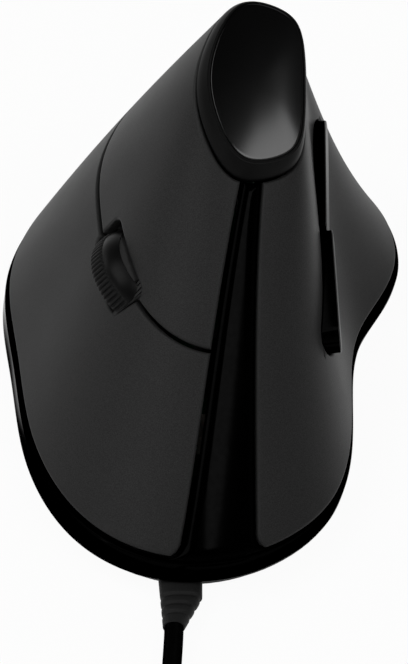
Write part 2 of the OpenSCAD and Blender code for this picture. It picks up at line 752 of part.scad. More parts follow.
module wheel_encoder() {
    color("#2f6b4a")
        difference() {
            finger_local()
                box([-5, -cheek_y - cheek_t - encoder_t, axle_z - 4], [5, -cheek_y - cheek_t, axle_z + 4]);
            wheel_local()
                cylinder(d = axle_d + 6 * run_gap, h = 2 * axle_l, center = true);
        }
}

// Finger board on its bracket
finger_lo = [-21, -17.5];
finger_hi = [12, 17.5];
window_half = [9, 4.7];
bracket_t = 2;
module finger_plate(z0, z1, hole_d) {
    difference() {
        box([finger_lo[0], finger_lo[1], z0], [finger_hi[0], finger_hi[1], z1]);
        box([-window_half[0], -window_half[1], z0 - 1], [window_half[0], window_half[1], z1 + 1]);
        for (s = [-1, 1])
            translate([bar_x, s * lug_y, z0 - 1])
                cylinder(d = hole_d, h = z1 - z0 + 2);
    }
}
module finger_board() {
    color("#1f5a35")
        finger_local()
            finger_plate(-finger_depth - board_t, -finger_depth, guide_d + 0.6);
}
module finger_bracket() {
    top = -finger_depth - board_t;
    mid = top - bracket_t / 2;
    color("#4a4d52")
        difference() {
            union() {
                finger_local()
                    finger_plate(top - bracket_t, top, guide_d / 2);
                finger_local()
                    for (s = [-1, 1])
                        translate([bar_x, s * lug_y, top - bracket_t])
                            cylinder(d = guide_d, h = guide_top - top + bracket_t);
                difference() {
                    for (p = leg_places)
                        translate([p[0] - leg_w / 2, p[1] - leg_w / 2, leg_pad_z])
                            cube([leg_w, leg_w, crest_z / 2]);
                    finger_local()
                        translate([-100, -100, mid])
                            cube(200);
                }
            }
            for (p = leg_places)
                translate([p[0], p[1], leg_pad_z - 1])
                    cylinder(d = screw_d + 2 * run_gap, h = 7);
            thumb_local()
                translate([-100, -100, -thumb_depth - board_t - thumb_board_room])
                    cube(200);
        }
}

// Switches
module micro_switch(at, c) {
    p = finger_xyz(skin(at[0], at[1]));
    color(c)
        finger_local()
            translate([p[0] - switch_l / 2, p[1] - switch_w / 2, -finger_depth])
                difference() {
                    cube([switch_l, switch_w, switch_h]);
                    translate([switch_l / 2, switch_w / 2, switch_h - 2])
                        cylinder(d = plunger_d + 2 * run_gap, h = 3);
                }
}
module micro_plunger(at) {
    p = finger_xyz(skin(at[0], at[1]));
    color("#d8d6cf")
        finger_local()
            translate([p[0], p[1], -finger_depth + switch_h - 1.4])
                cylinder(d = plunger_d, h = plunger_out + 1.4);
}
module left_switch() { micro_switch(left_post_at, "#1b1b1d"); }
module right_switch() { micro_switch(right_post_at, "#1b1b1d"); }
module left_plunger() { micro_plunger(left_post_at); }
module right_plunger() { micro_plunger(right_post_at); }

tact_well = 1.6;
middle_top = bar_z[0] - plunger_play;
middle_body = finger_depth + middle_top - plunger_out;
module tact_switch(h) {
    difference() {
        translate([0, 0, h / 2])
            cube([tact_w, tact_w, h], center = true);
        translate([0, 0, h - tact_well])
            cylinder(d = plunger_d + 2 * run_gap, h = tact_well + 1);
    }
}
module tact_plunger(h) {
    translate([0, 0, h - tact_well + 0.6])
        cylinder(d = plunger_d, h = plunger_out + tact_well - 0.6);
}
module middle_switch() {
    color("#1b1b1d")
        finger_local()
            translate([bar_x, 0, -finger_depth])
                tact_switch(middle_body);
}
module middle_plunger() {
    color("#c9a24a")
        finger_local()
            translate([bar_x, 0, -finger_depth])
                tact_plunger(middle_body);
}

// Thumb board and its switches
thumb_board_half = [17, 10.5];
thumb_body = thumb_depth + thumb_plunger_z - plunger_out;
thumb_board_room = 1;
module thumb_board() {
    color("#1f5a35")
        thumb_local()
            box([-thumb_board_half[0], -thumb_board_half[1], -thumb_depth - board_t],
                [thumb_board_half[0], thumb_board_half[1], -thumb_depth]);
}
module thumb_switch_local(s) {
    thumb_local()
        translate([s * thumb_pitch / 2, 0, -thumb_depth])
            children();
}
module back_switch() { color("#1b1b1d") thumb_switch_local(-1) tact_switch(thumb_body); }
module forward_switch() { color("#1b1b1d") thumb_switch_local(1) tact_switch(thumb_body); }
module back_plunger() { color("#c9a24a") thumb_switch_local(-1) tact_plunger(thumb_body); }
module forward_plunger() { color("#c9a24a") thumb_switch_local(1) tact_plunger(thumb_body); }

// Main board and the tracking set
main_top = main_board_z + board_t;
module main_board() {
    color("#1f5a35")
        difference() {
            box([board_lo[0], board_lo[1], main_board_z], [board_hi[0], board_hi[1], main_top]);
            for (p = pillar_places)
                translate([p[0], p[1], main_board_z - 1])
                    cylinder(d = pillar_bore_d + 0.4, h = board_t + 2);
        }
}
module controller_chip() {
    color("#101012")
        translate([sensor_at[0] + 6, sensor_at[1] - 16, main_top + 0.8])
            cube([10, 10, 1.6], center = true);
}
module sensor_chip() {
    color("#101012")
        translate([sensor_at[0], sensor_at[1], main_top + 1.5])
            cube([9.9, 12, 3], center = true);
}
lens_flange = [18, 14, 1];
module sensor_lens() {
    color("#cfe3ea")
        translate([sensor_at[0], sensor_at[1], floor_top]) {
            translate([0, 0, lens_flange[2] / 2])
                cube(lens_flange, center = true);
            translate([0, 0, (main_board_z - floor_top) / 2])
                cube([8, 8, main_board_z - floor_top], center = true);
            translate([0, 0, -1])
                cylinder(d = sensor_hole_d - 2, h = 1.5);
        }
}
module sensor_light() {
    color("#b3202a")
        translate([sensor_at[0], sensor_at[1] + 12, main_top]) {
            cylinder(d = 5, h = 4);
            translate([0, 0, 4])
                sphere(d = 5);
        }
}
module board_screws() {
    color("#9a9da2")
        for (p = pillar_places)
            translate([p[0], p[1], main_top]) {
                cylinder(d = 2 * pillar_bore_d, h = 1.2);
                translate([0, 0, -board_t - 2.6])
                    cylinder(d = pillar_bore_d - 2 * run_gap, h = board_t + 3);
            }
}

// Screws from below, and the glide feet
module case_screws() {
    color("#9a9da2")
        for (p = screw_places)
            translate([p[0], p[1], screw_seat]) {
                translate([0, 0, -1.5])
                    cylinder(d = screw_head_d, h = 1.5);
                translate([0, 0, -0.5])
                    cylinder(d = screw_d, h = screw_tip - screw_seat + 0.5);
            }
}
foot_size = [22, 8];
foot_places = [[2, -44.5], [12, 42.5], [-27, 4]];
foot_turns = [0, -20, 78];
module glide_feet() {
    color("#2a2a2c")
        for (i = [0:len(foot_places) - 1])
            translate([foot_places[i][0], foot_places[i][1], 0])
                rotate(foot_turns[i])
                    linear_extrude(foot_t) {
                        square([foot_size[0] - foot_size[1], foot_size[1]], center = true);
                        for (s = [-1, 1])
                            translate([s * (foot_size[0] - foot_size[1]) / 2, 0])
                                circle(d = foot_size[1]);
                    }
}

// Lead inside the case
header_size = [8, 6, 5];
header_at = [board_lo[0] + 5, board_lo[1] + 3.5 + pillar_edge + pillar_r, main_top];
lead_r = 0.9;
lead_end = [header_at[0], header_at[1] - header_size[1] / 2, main_top + 2.5];
lead_start = [relief_x, gate_y + gate_depth, relief_z];
lead_route = [lead_start, lead_start + [0, 3, 0.3], lead_start + [0.5, 6, 2], lead_end + [-3.5, -8, -1.2],
    lead_end + [-1, -4, 0], lead_end];
module cable_header() {
    color("#e9e6dc")
        translate(header_at + [0, 0, header_size[2] / 2])
            cube(header_size, center = true);
}
module inner_lead() {
    color("#3a3a3c")
        tube(lead_route, [0, 1, 0], [0, 1, 0], lead_r);
}

// Strain relief: oval at the case, round at the cord, with ribs
relief_end = [-5.4, -68.4, relief_z];
relief_ribs = 5;
module strain_relief() {
    root = [relief_x, gate_y, relief_z];
    steps = 2 * relief_ribs + 1;
    color("#202124")
        union() {
            loft([for (i = [0:steps])
                let (t = i / steps, e = pow(t, 1.3), rib = i < steps && i % 2 == 1 ? relief_rib : 0)
                let (a = lerp(relief_w / 2, cord_r + 0.35, e), b = lerp(relief_h / 2, cord_r + 0.1, e))
                tube_loop(lerp(root, relief_end, t), [0, -1, 0], a - rib, b - rib, 16)]);
            box([relief_x - tenon[0] / 2, gate_y - 0.5, relief_z - tenon[1] / 2],
                [relief_x + tenon[0] / 2, gate_y + gate_depth, relief_z + tenon[1] / 2]);
        }
}

// Cord on the desk: a lead, a stowed coil in four layers, and a tail to the plug
cord_r = cord_d / 2;
coil_c = [20, -117.5];
coil_low = cord_r + 0.9;
coil_layers = 4;
loop_rings = 24;
coil_start = [coil_c[0] - coil_r, coil_c[1], coil_low];
coil_top = coil_low + (coil_layers - 1) * turn_pitch;
coil_exit = [coil_start[0], coil_start[1], coil_top];
lead_points = [relief_end, [-5.5, -72, 3.3], [-5.8, -79, 3.1], [-6, -87, 2.8], [-6, -96, 2.7],
    coil_start + [0, cord_d, 0]];
tail_run = [[-26.8, -11, 13.2], [-27.6, -18, 10], [-26, -25.5, 6.6], [-21, -31.5, 4.6], [-14, -34.2, 4],
    [-9, -34.6, 4]];
tail_points = concat([coil_exit - [0, cord_d, 0]],
    [for (p = tail_run) [coil_c[0] + p[0], coil_c[1] + p[1], p[2]]]);
function coil_point(t) =
    let (span = coil_turns / coil_layers, layer = min(coil_layers - 1, floor(t / span)), s = t - layer * span)
    let (r = layer % 2 == 0 ? coil_r - turn_pitch * s : coil_r - turn_pitch * (span - s))
    let (near = round(t / span), c = min(1, max(0, (t - near * span + 0.25) / 0.5)))
    let (z = near < 1 ? 0 : near >= coil_layers ? coil_layers - 1 : near - 1 + c * c * (3 - 2 * c))
    [coil_c[0] - r * cos(360 * t), coil_c[1] - r * sin(360 * t), coil_low + z * turn_pitch];
coil_rings = coil_turns * loop_rings;
coil_path = concat([coil_start + [0, cord_d, 0]], [for (i = [0:coil_rings]) coil_point(i / loop_rings)],
    [coil_exit - [0, cord_d, 0]]);
function coil_self_gap() =
    min([for (i = [0:coil_rings], j = [i + loop_rings / 2:1:coil_rings])
        norm(coil_point(i / loop_rings) - coil_point(j / loop_rings))]) - cord_d;
module cord_lead() { color("#070708") tube(lead_points, [0, -1, 0], [0, -1, 0], cord_r); }
module cord_coil() {
    echo(least_gap_of_coil = coil_self_gap());
    color("#070708")
        tube(coil_path, [0, -1, 0], [0, -1, 0], cord_r, 6);
}
module cord_tail() { color("#070708") tube(tail_points, [0, -1, 0], [1, 0, 0], cord_r); }

tie_gap = 0.35;
tie_t = 0.5;
tie_w = 4;
tie_r = 2;
module cord_tie() {
    inner_r = coil_r - turn_pitch * (coil_turns / coil_layers - 0.25) - cord_r - tie_gap;
    outer_r = coil_r + cord_r + tie_gap;
    low = coil_low - cord_r - tie_gap;
    high = coil_top + cord_r + tie_gap;
    color("#1a1a1c")
        translate([coil_c[0] + (inner_r + outer_r) / 2, coil_c[1] + tie_w / 2, (low + high) / 2])
            rotate([90, 0, 0])
                linear_extrude(tie_w)
                    difference() {
                        round_section(outer_r - inner_r + 2 * tie_t, high - low + 2 * tie_t, tie_r);
                        round_section(outer_r - inner_r, high - low, tie_r - tie_t);
                    }
}

// Plug
plug_at = tail_points[len(tail_points) - 1];
module plug_local(x) {
    translate(plug_at + [x, 0, 0])
        rotate([90, 0, 90])
            children();
}
module plug_grip() {
    color("#101012")
        plug_local(0)
            linear_extrude(grip_l)
                round_section(grip_w, grip_h, 2);
}
module plug_shell() {
    color("#c4c7cc")
        plug_local(grip_l)
            linear_extrude(plug_l)
                difference() {
                    square([plug_w, plug_h], center = true);
                    square([plug_w - 2 * plug_wall, plug_h - 2 * plug_wall], center = true);
                }
}
module plug_tongue() {
    color("#e8e8ea")
        plug_local(grip_l)
            linear_extrude(plug_l - 0.6)
                translate([0, (plug_h - 2 * plug_wall) / 4 + 0.05])
                    square([plug_w - 2 * plug_wall - 0.2, (plug_h - 2 * plug_wall) / 2 - 0.2], center = true);
}

base_plate();
gloss_frame();
hand_cover();
badge_bezel();
badge_window();
left_button();
right_button();
wheel_tyre();
wheel_hub();
wheel_axle();
wheel_carrier();
wheel_encoder();
back_button();
forward_button();
finger_bracket();
finger_board();
left_switch();
right_switch();
middle_switch();
left_plunger();
right_plunger();
middle_plunger();
thumb_board();
back_switch();
forward_switch();
back_plunger();
forward_plunger();
main_board();
controller_chip();
sensor_chip();
sensor_lens();
sensor_light();
board_screws();
case_screws();
glide_feet();
cable_header();
inner_lead();
strain_relief();
cord_lead();
cord_coil();
cord_tail();
cord_tie();
plug_grip();
plug_shell();
plug_tongue();
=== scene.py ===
# Wired vertical mouse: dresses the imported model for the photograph's view
import json
import math

import bpy
import numpy as np
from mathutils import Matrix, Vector, kdtree


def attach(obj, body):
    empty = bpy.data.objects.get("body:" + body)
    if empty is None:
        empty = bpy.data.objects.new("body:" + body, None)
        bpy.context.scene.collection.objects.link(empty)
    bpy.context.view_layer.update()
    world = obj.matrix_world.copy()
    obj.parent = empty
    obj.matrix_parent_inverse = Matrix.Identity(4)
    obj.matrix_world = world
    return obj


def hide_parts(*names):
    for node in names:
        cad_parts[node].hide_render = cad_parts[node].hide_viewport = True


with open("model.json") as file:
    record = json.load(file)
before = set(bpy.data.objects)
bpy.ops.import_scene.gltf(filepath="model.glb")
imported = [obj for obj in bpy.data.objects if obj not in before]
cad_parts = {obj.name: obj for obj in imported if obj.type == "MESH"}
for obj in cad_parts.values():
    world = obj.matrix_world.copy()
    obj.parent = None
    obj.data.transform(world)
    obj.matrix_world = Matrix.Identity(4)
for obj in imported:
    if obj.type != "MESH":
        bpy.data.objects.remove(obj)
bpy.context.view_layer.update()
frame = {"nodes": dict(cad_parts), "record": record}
NODES = frame["nodes"]
MM = 0.001

# Body surface, repeated from the part's source, in millimetres
FOOT = np.array([[4.8, -60.4], [16.4, -55.1], [26.3, -44.9], [29.9, -29.1],
                 [29.8, -11.9], [31.1, 3.2], [43.7, 20.4], [36.6, 46.1],
                 [8.1, 61.8], [-17.1, 57.9], [-34, 37.3], [-41.8, 15.7],
                 [-36.8, -7.6], [-34.7, -30], [-25.1, -50.7], [-10.1, -60.6]], float)
LOWER_LEAN = np.array([.33, .36, .42, .50, .60, .74, .77, .42,
                       .24, .23, .28, .35, .34, .33, .33, .33])
UPPER_LEAN = np.array([.68, .70, .72, .75, .82, .94, .92, .61,
                       .58, .60, .66, .68, .67, .66, .67, .67])
STATIONS, FOOT_STEPS = 16, 256
STATION_ANGLE = 2 * math.pi / STATIONS
STATION_STEP, HEIGHT_STEP = 0.02, 0.005
BODY_W, BODY_L = 80.2, 119.3
SKIRT_LIFT, SKIRT_H, SKIRT_TILT, SHELL_T = 5.6, 4.8, 1.2, 2.0
CREST_C = np.array([9.6, 11.4, 65.1])
CREST_TILT, CREST_LEAN = math.radians(32), math.radians(14)
RING_W, RING_L = 21.8, 35.8
BADGE_W, BADGE_L = 19.3, 32.6
OVAL_SQUARE, OVAL_BIAS = 0.029, 0.052
BADGE_RAISE, BADGE_SHIFT = 3.0, (0.45, 1.2)
BADGE_LIP, BADGE_LEDGE, WINDOW_T = 0.35, 1.2, 1.6
SLIT_W, PRESS_GAP, SEAM_GAP = 0.75, 0.75, 0.45
SPINE_FOOT_W, SPINE_CREST_W, SPINE_TAPER = 14.4, 3.3, 0.85
SPINE_FOOT_X, SPINE_CREST_X, SPINE_BOW = -0.6, -0.25, 0.65
SKIRT_EDGE, SKIRT_EDGE_TILT, CORNER_R = 0.009, 0.003, 3.6
WHEEL_AT, BACK_AT, FORWARD_AT = (-3.14, 0.525), (4.96, 0.52), (3.241, 0.415)
REAR_SEAM, SLIT_REAR, SLIT_FRONT, SLIT_BEND = -6.6, 0.487, 0.549, -3.1
SLIT_RUN = 1.6
WHEEL_D, WHEEL_W, WHEEL_PROUD, WHEEL_RIBS = 23.0, 7.0, 3.5, 72
TYRE_T = 2.0
SLOT_X, SLOT_Y, SLOT_R = (-10.4, 8.9), 4.0, 2.2
THUMB_H, THUMB_PROUD, THUMB_GAP, THUMB_PLAY, THUMB_INNER_R = 7.5, 2.5, 0.7, 0.3, 1.0


def unit(v):
    v = np.asarray(v, float)
    return v / np.linalg.norm(v, axis=-1, keepdims=True)


def lerp(a, b, t):
    return a + (b - a) * t


def spline(tab, k):
    k = np.asarray(k, float)
    n = len(tab)
    i = np.floor(k).astype(int)
    t = k - i
    if tab.ndim > 1:
        t = t[..., None]
    a, b = (1 - t) ** 3 / 6, (3 * t ** 3 - 6 * t * t + 4) / 6
    c, d = (-3 * t ** 3 + 3 * t * t + 3 * t + 1) / 6, t ** 3 / 6
    return a * tab[(i - 1) % n] + b * tab[i % n] + c * tab[(i + 1) % n] + d * tab[(i + 2) % n]


RAW = spline(FOOT, np.arange(FOOT_STEPS) * STATIONS / FOOT_STEPS)
RAW_MID = (RAW.max(0) + RAW.min(0)) / 2
RAW_SCALE = np.array([BODY_W, BODY_L]) / (RAW.max(0) - RAW.min(0))


def foot(k):
    return (spline(FOOT, k) - RAW_MID) * RAW_SCALE


SLOPE_Q = np.array([0, math.cos(CREST_TILT), math.sin(CREST_TILT)])
LEAN_P = np.array([math.cos(CREST_LEAN), 0, -math.sin(CREST_LEAN)])
CREST_P, CREST_Q = unit(LEAN_P - SLOPE_Q * (LEAN_P @ SLOPE_Q)), SLOPE_Q
CREST_N = np.cross(CREST_P, CREST_Q)


def oval(c, a, b, k):
    t = np.asarray(k, float) * STATION_ANGLE
    e = OVAL_SQUARE + OVAL_BIAS * np.sin(t)
    across, up = a * (np.sin(t) + e * np.sin(3 * t)), -b * (np.cos(t) - e * np.cos(3 * t))
    return c + CREST_P * across[..., None] + CREST_Q * up[..., None]


def rim(k):
    return oval(CREST_C, RING_W / 2, RING_L / 2, k)


def skirt_top(k):
    return SKIRT_LIFT + SKIRT_H - SKIRT_TILT * np.sin(np.asarray(k, float) * STATION_ANGLE)


def skin(k, h):
    k, h = np.broadcast_arrays(np.asarray(k, float), np.asarray(h, float))
    b, t, g = foot(k), rim(k), 1 - h
    w = 3 * g * g * h * spline(LOWER_LEAN, k) + 3 * g * h * h * spline(UPPER_LEAN, k) + h ** 3
    return np.stack([lerp(b[..., 0], t[..., 0], w), lerp(b[..., 1], t[..., 1], w),
                     lerp(skirt_top(k), t[..., 2], h)], -1)


def along(k, h):
    k = np.asarray(k)
    return (skin(k + STATION_STEP, h) - skin(k - STATION_STEP, h)) / (2 * STATION_STEP)


def upward(k, h):
    h = np.asarray(h)
    return (skin(k, h + HEIGHT_STEP) - skin(k, h - HEIGHT_STEP)) / (2 * HEIGHT_STEP)


def outward(k, h):
    return unit(np.cross(along(k, h), upward(k, h)))


def station_gap(k, h, gap):
    return gap / np.linalg.norm(along(k, h), axis=-1)


def height_gap(k, h, gap):
    return gap / np.linalg.norm(upward(k, h), axis=-1)


def skirt_edge(k):
    return SKIRT_EDGE - SKIRT_EDGE_TILT * np.sin(np.asarray(k, float) * STATION_ANGLE)


CORNER_RISE = float(height_gap(0, skirt_edge(0), CORNER_R))


def corner(h):
    d = np.clip((skirt_edge(0) + CORNER_RISE - h) / CORNER_RISE, 0, 1)
    return station_gap(0, h, CORNER_R) * (1 - np.sqrt(1 - d * d))


def spine_mid(h):
    """Middle line of the spine. The factor 27 / 4 brings the peak of h * h * (1 - h) to one."""
    h = np.asarray(h, float)
    bow = SPINE_BOW * 27 / 4 * h * h * (1 - h)
    return station_gap(0, h, lerp(SPINE_FOOT_X, SPINE_CREST_X, h) - bow)


def spine_half(h):
    width = lerp(SPINE_FOOT_W, SPINE_CREST_W, np.maximum(0, h) ** SPINE_TAPER)
    return station_gap(0, h, width / 2) + corner(h)


def spine_left(h):
    return spine_mid(h) - spine_half(h)


def spine_right(h):
    return spine_mid(h) + spine_half(h)


def slit(k):
    t = np.clip((np.asarray(k, float) - SLIT_BEND) / SLIT_RUN + 0.5, 0, 1)
    return lerp(SLIT_REAR, SLIT_FRONT, t * t * (3 - 2 * t))


def crest_edge(k):
    return 1 - height_gap(k, 1, SEAM_GAP)


FINGER_O = skin(*WHEEL_AT)
FINGER_N = outward(*WHEEL_AT)
FINGER_X = unit(along(*WHEEL_AT))
FINGER_Y = np.cross(FINGER_N, FINGER_X)
FINGER_AXES = FINGER_O, FINGER_X, FINGER_Y, FINGER_N
BACK_O, FORWARD_O = skin(*BACK_AT), skin(*FORWARD_AT)
THUMB_PITCH = float(np.linalg.norm(FORWARD_O - BACK_O))
THUMB_O = (BACK_O + FORWARD_O) / 2
THUMB_N = unit(outward(*BACK_AT) + outward(*FORWARD_AT))
THUMB_X = unit(FORWARD_O - BACK_O - THUMB_N * ((FORWARD_O - BACK_O) @ THUMB_N))
THUMB_Y = np.cross(THUMB_N, THUMB_X)
THUMB_L = THUMB_PITCH - THUMB_GAP


def local(p, o, x, y, n):
    q = p - o
    return q @ x, q @ y, q @ n


def thumb_axes(at):
    n = outward(*at)
    x = unit(THUMB_X - n * (THUMB_X @ n))
    return skin(*at), x, np.cross(n, x), n


# Camera at the photograph's viewing angle
CAM_TARGET = Vector((0.00015, -0.0143, 0.0266))
CAM_DISTANCE, CAM_ELEVATION, CAM_LENS, CAM_SENSOR = 0.6, math.radians(45), 169.2, 36
cam_data = bpy.data.cameras.new("photo_camera")
cam_data.sensor_width = CAM_SENSOR
cam_data.lens = CAM_LENS
cam_data.clip_start, cam_data.clip_end = 0.01, 50
camera = bpy.data.objects.new("photo_camera", cam_data)
bpy.context.scene.collection.objects.link(camera)
cam_back = Vector((0, -math.cos(CAM_ELEVATION), math.sin(CAM_ELEVATION)))
camera.location = CAM_TARGET + cam_back * CAM_DISTANCE
camera.rotation_mode = "QUATERNION"
camera.rotation_quaternion = (-cam_back).to_track_quat("-Z", "Y")
bpy.context.scene.camera = camera
bpy.context.scene.view_settings.view_transform = "Standard"


# Node helpers for materials
def new_material(name):
    m = bpy.data.materials.new(name)
    m.use_nodes = True
    nt = m.node_tree
    return m, nt, nt.nodes["Principled BSDF"]


def add(nt, kind, **values):
    n = nt.nodes.new(kind)
    for key, v in values.items():
        if key in n.inputs:
            n.inputs[key].default_value = v
        else:
            setattr(n, key, v)
    return n


def noise(nt, scale, detail=2.0, rough=0.5):
    coord = add(nt, "ShaderNodeTexCoord")
    n = add(nt, "ShaderNodeTexNoise", Scale=scale, Detail=detail, Roughness=rough)
    nt.links.new(coord.outputs["Object"], n.inputs["Vector"])
    return n


def ramp(nt, source, stops):
    r = add(nt, "ShaderNodeValToRGB")
    e = r.color_ramp.elements
    while len(e) < len(stops):
        e.new(0.5)
    for s, (pos, c) in zip(e, stops):
        s.position = pos
        s.color = (*c, 1)
    nt.links.new(source, r.inputs["Fac"])
    return r


def bump(nt, source, strength, distance, normal_to):
    b = add(nt, "ShaderNodeBump", Strength=strength, Distance=distance)
    nt.links.new(source, b.inputs["Height"])
    nt.links.new(b.outputs["Normal"], normal_to)


def grey(v):
    return (v, v, v)


def two_tone(nt, p, source, dark, light):
    c = ramp(nt, source, [(0.3, dark), (0.7, light)])
    nt.links.new(c.outputs["Color"], p.inputs["Base Color"])


def rough_between(nt, p, source, low, high):
    r = add(nt, "ShaderNodeMapRange")
    r.inputs["To Min"].default_value = low
    r.inputs["To Max"].default_value = high
    nt.links.new(source, r.inputs["Value"])
    nt.links.new(r.outputs["Result"], p.inputs["Roughness"])


RELIEF_DEPTH, CLOUD_SHARE, SHEEN_ROUGH = 0.00003, 40, 0.4
MIRROR_FINE, MIRROR_CLOUD, LENS_FINE = 900.0, 60.0, 500.0


def plastic(name, dark, light, rough, fine, specular=0.5, relief=0.3, spread=0.08, sheen=0.0):
    """Moulded plastic: two close tones in a fine noise, its own roughness and a fine relief."""
    m, nt, p = new_material(name)
    n = noise(nt, fine, 3.0, 0.6)
    two_tone(nt, p, n.outputs["Fac"], dark, light)
    cloud = noise(nt, fine / CLOUD_SHARE)
    rough_between(nt, p, cloud.outputs["Fac"], rough - spread / 2, rough + spread / 2)
    if relief:
        bump(nt, n.outputs["Fac"], relief, RELIEF_DEPTH, p.inputs["Normal"])
    p.inputs["Specular IOR Level"].default_value = specular
    if sheen:
        p.inputs["Sheen Weight"].default_value = sheen
        p.inputs["Sheen Roughness"].default_value = SHEEN_ROUGH
    return m


def dark_gloss(name, dark, light, rough, edge):
    """Black gloss that stays black at its edges too: a faint mirror with its own edge tint."""
    m, nt, p = new_material(name)
    two_tone(nt, p, noise(nt, MIRROR_FINE, 3.0).outputs["Fac"], dark, light)
    rough_between(nt, p, noise(nt, MIRROR_CLOUD).outputs["Fac"], rough * 0.9, rough * 1.1)
    p.inputs["Metallic"].default_value = 1.0
    p.inputs["Specular Tint"].default_value = (*grey(edge), 1)
    return m


def metal(name, tone, rough):
    m, nt, p = new_material(name)
    n = noise(nt, MIRROR_FINE, 3.0)
    two_tone(nt, p, n.outputs["Fac"], tuple(x * 0.85 for x in tone), tone)
    rough_between(nt, p, n.outputs["Fac"], rough * 0.8, rough * 1.2)
    p.inputs["Metallic"].default_value = 1.0
    return m


def clear_plastic(name, dark, light):
    m, nt, p = new_material(name)
    two_tone(nt, p, noise(nt, LENS_FINE).outputs["Fac"], dark, light)
    p.inputs["Transmission Weight"].default_value = 0.9
    p.inputs["Roughness"].default_value = 0.08
    p.inputs["IOR"].default_value = 1.49
    return m


SOFT_TOUCH = plastic("soft_touch", grey(0.008), grey(0.026), 0.50, 5200.0, 0.16, 0.5, 0.08, 0.02)
GLOSS_BLACK = dark_gloss("gloss_black", grey(0.0009), grey(0.0012), 0.10, 0.02)
BUTTON_SATIN = plastic("button_satin", grey(0.007), grey(0.011), 0.40, 2600.0, 0.3, 0.2)
BADGE_GLOSS = plastic("badge_gloss", grey(0.0004), grey(0.0008), 0.14, 900.0, 0.4, 0.0, 0.03)
BEZEL_SATIN = plastic("bezel_satin", grey(0.0022), grey(0.0036), 0.40, 4000.0, 0.06, 0.25)
BASE_BLACK = plastic("base_black", grey(0.008), grey(0.014), 0.55, 2600.0, 0.4, 0.6)
WHEEL_RUBBER = plastic("wheel_rubber", grey(0.005), grey(0.009), 0.5, 3000.0, 0.10, 0.4)
WHEEL_SIDE = plastic("wheel_side", grey(0.0015), grey(0.0025), 0.35, 1500.0, 0.10, 0.2)
INNER_GREY = plastic("inner_grey", grey(0.05), grey(0.07), 0.5, 1800.0, 0.4, 0.4)
CHIP_BLACK = plastic("chip_black", grey(0.006), grey(0.011), 0.45, 2200.0, 0.4, 0.5)
PLUNGER_WHITE = plastic("plunger_white", (0.62, 0.60, 0.55), (0.70, 0.68, 0.63), 0.4, 1500.0)
PLUNGER_AMBER = plastic("plunger_amber", (0.50, 0.32, 0.06), (0.58, 0.39, 0.09), 0.4, 1500.0)
ENCODER_GREEN = plastic("encoder_green", (0.02, 0.10, 0.05), (0.03, 0.13, 0.07), 0.4, 1500.0)
BOARD_GREEN = plastic("board_green", (0.006, 0.06, 0.02), (0.012, 0.09, 0.035),
                      0.35, 260.0, 0.5, 0.2)
FOOT_GREY = plastic("foot_grey", grey(0.018), grey(0.026), 0.3, 1200.0, 0.5, 0.2)
HEADER_IVORY = plastic("header_ivory", (0.70, 0.66, 0.58), (0.78, 0.74, 0.66), 0.45, 1500.0)
CORD_BLACK = dark_gloss("cord_black", grey(0.0030), grey(0.0045), 0.45, 0.06)
RELIEF_RUBBER = plastic("relief_rubber", grey(0.009), grey(0.014), 0.6, 3200.0, 0.15, 0.6)
TIE_BLACK = plastic("tie_black", grey(0.007), grey(0.013), 0.7, 1500.0, 0.3, 0.8)
TONGUE_WHITE = plastic("tongue_white", grey(0.72), grey(0.80), 0.35, 1500.0)
LIGHT_RED = plastic("light_red", (0.38, 0.01, 0.012), (0.46, 0.015, 0.018),
                    0.12, 900.0, 0.5, 0.0, 0.03)
STEEL = metal("steel", (0.55, 0.56, 0.58), 0.32)
PLUG_METAL = metal("plug_metal", (0.72, 0.73, 0.75), 0.16)
LENS_CLEAR = clear_plastic("lens_clear", (0.80, 0.87, 0.90), (0.86, 0.92, 0.94))

SLOT_MATERIAL = {
    "soft_touch": SOFT_TOUCH, "gloss_black": GLOSS_BLACK, "badge_gloss": BADGE_GLOSS,
    "bezel_satin": BEZEL_SATIN, "base_black": BASE_BLACK, "wheel_rubber": WHEEL_RUBBER,
    "inner_grey": INNER_GREY, "chip_black": CHIP_BLACK, "plunger_white": PLUNGER_WHITE,
    "plunger_amber": PLUNGER_AMBER, "encoder_green": ENCODER_GREEN, "board_green": BOARD_GREEN,
    "foot_grey": FOOT_GREY, "header_ivory": HEADER_IVORY, "cord_black": CORD_BLACK,
    "relief_rubber": RELIEF_RUBBER, "tie_black": TIE_BLACK, "tongue_white": TONGUE_WHITE,
    "light_red": LIGHT_RED, "steel": STEEL, "plug_metal": PLUG_METAL, "lens_clear": LENS_CLEAR,
}
for part in frame["record"]["subparts"]:
    mesh = NODES[part["node"]].data
    mesh.materials.clear()
    mesh.materials.append(SLOT_MATERIAL[part["material_slot"]])


# Mesh helpers
def piece(name, verts, faces, slot, body, *nodes, sharp=35, normals=None, second=None):
    """A piece from vertices in millimetres that rides on a body and stands for CAD nodes.
    A normal of zero length leaves that vertex to Blender.
    Second is another finish and the first face that has it."""
    mesh = bpy.data.meshes.new(name)
    mesh.from_pydata((np.asarray(verts) * MM).tolist(), [], [list(map(int, f)) for f in faces])
    mesh.validate()
    mesh.materials.append(SLOT_MATERIAL[slot])
    if second:
        mesh.materials.append(second[0])
        for face in mesh.polygons[second[1]:]:
            face.material_index = 1
    mesh.shade_smooth()
    mesh.set_sharp_from_angle(angle=math.radians(sharp))
    if normals is not None:
        mesh.normals_split_custom_set_from_vertices(normals.tolist())
    o = bpy.data.objects.new(name, mesh)
    bpy.context.scene.collection.objects.link(o)
    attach(o, body)
    if nodes:
        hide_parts(*nodes)
    return o


def boundary_edges(faces):
    """Directed edges that only one face uses."""
    seen = {}
    for f in faces:
        for a, b in zip(f, (*f[1:], f[0])):
            seen[(a, b)] = True
    return [(a, b) for a, b in seen if (b, a) not in seen]


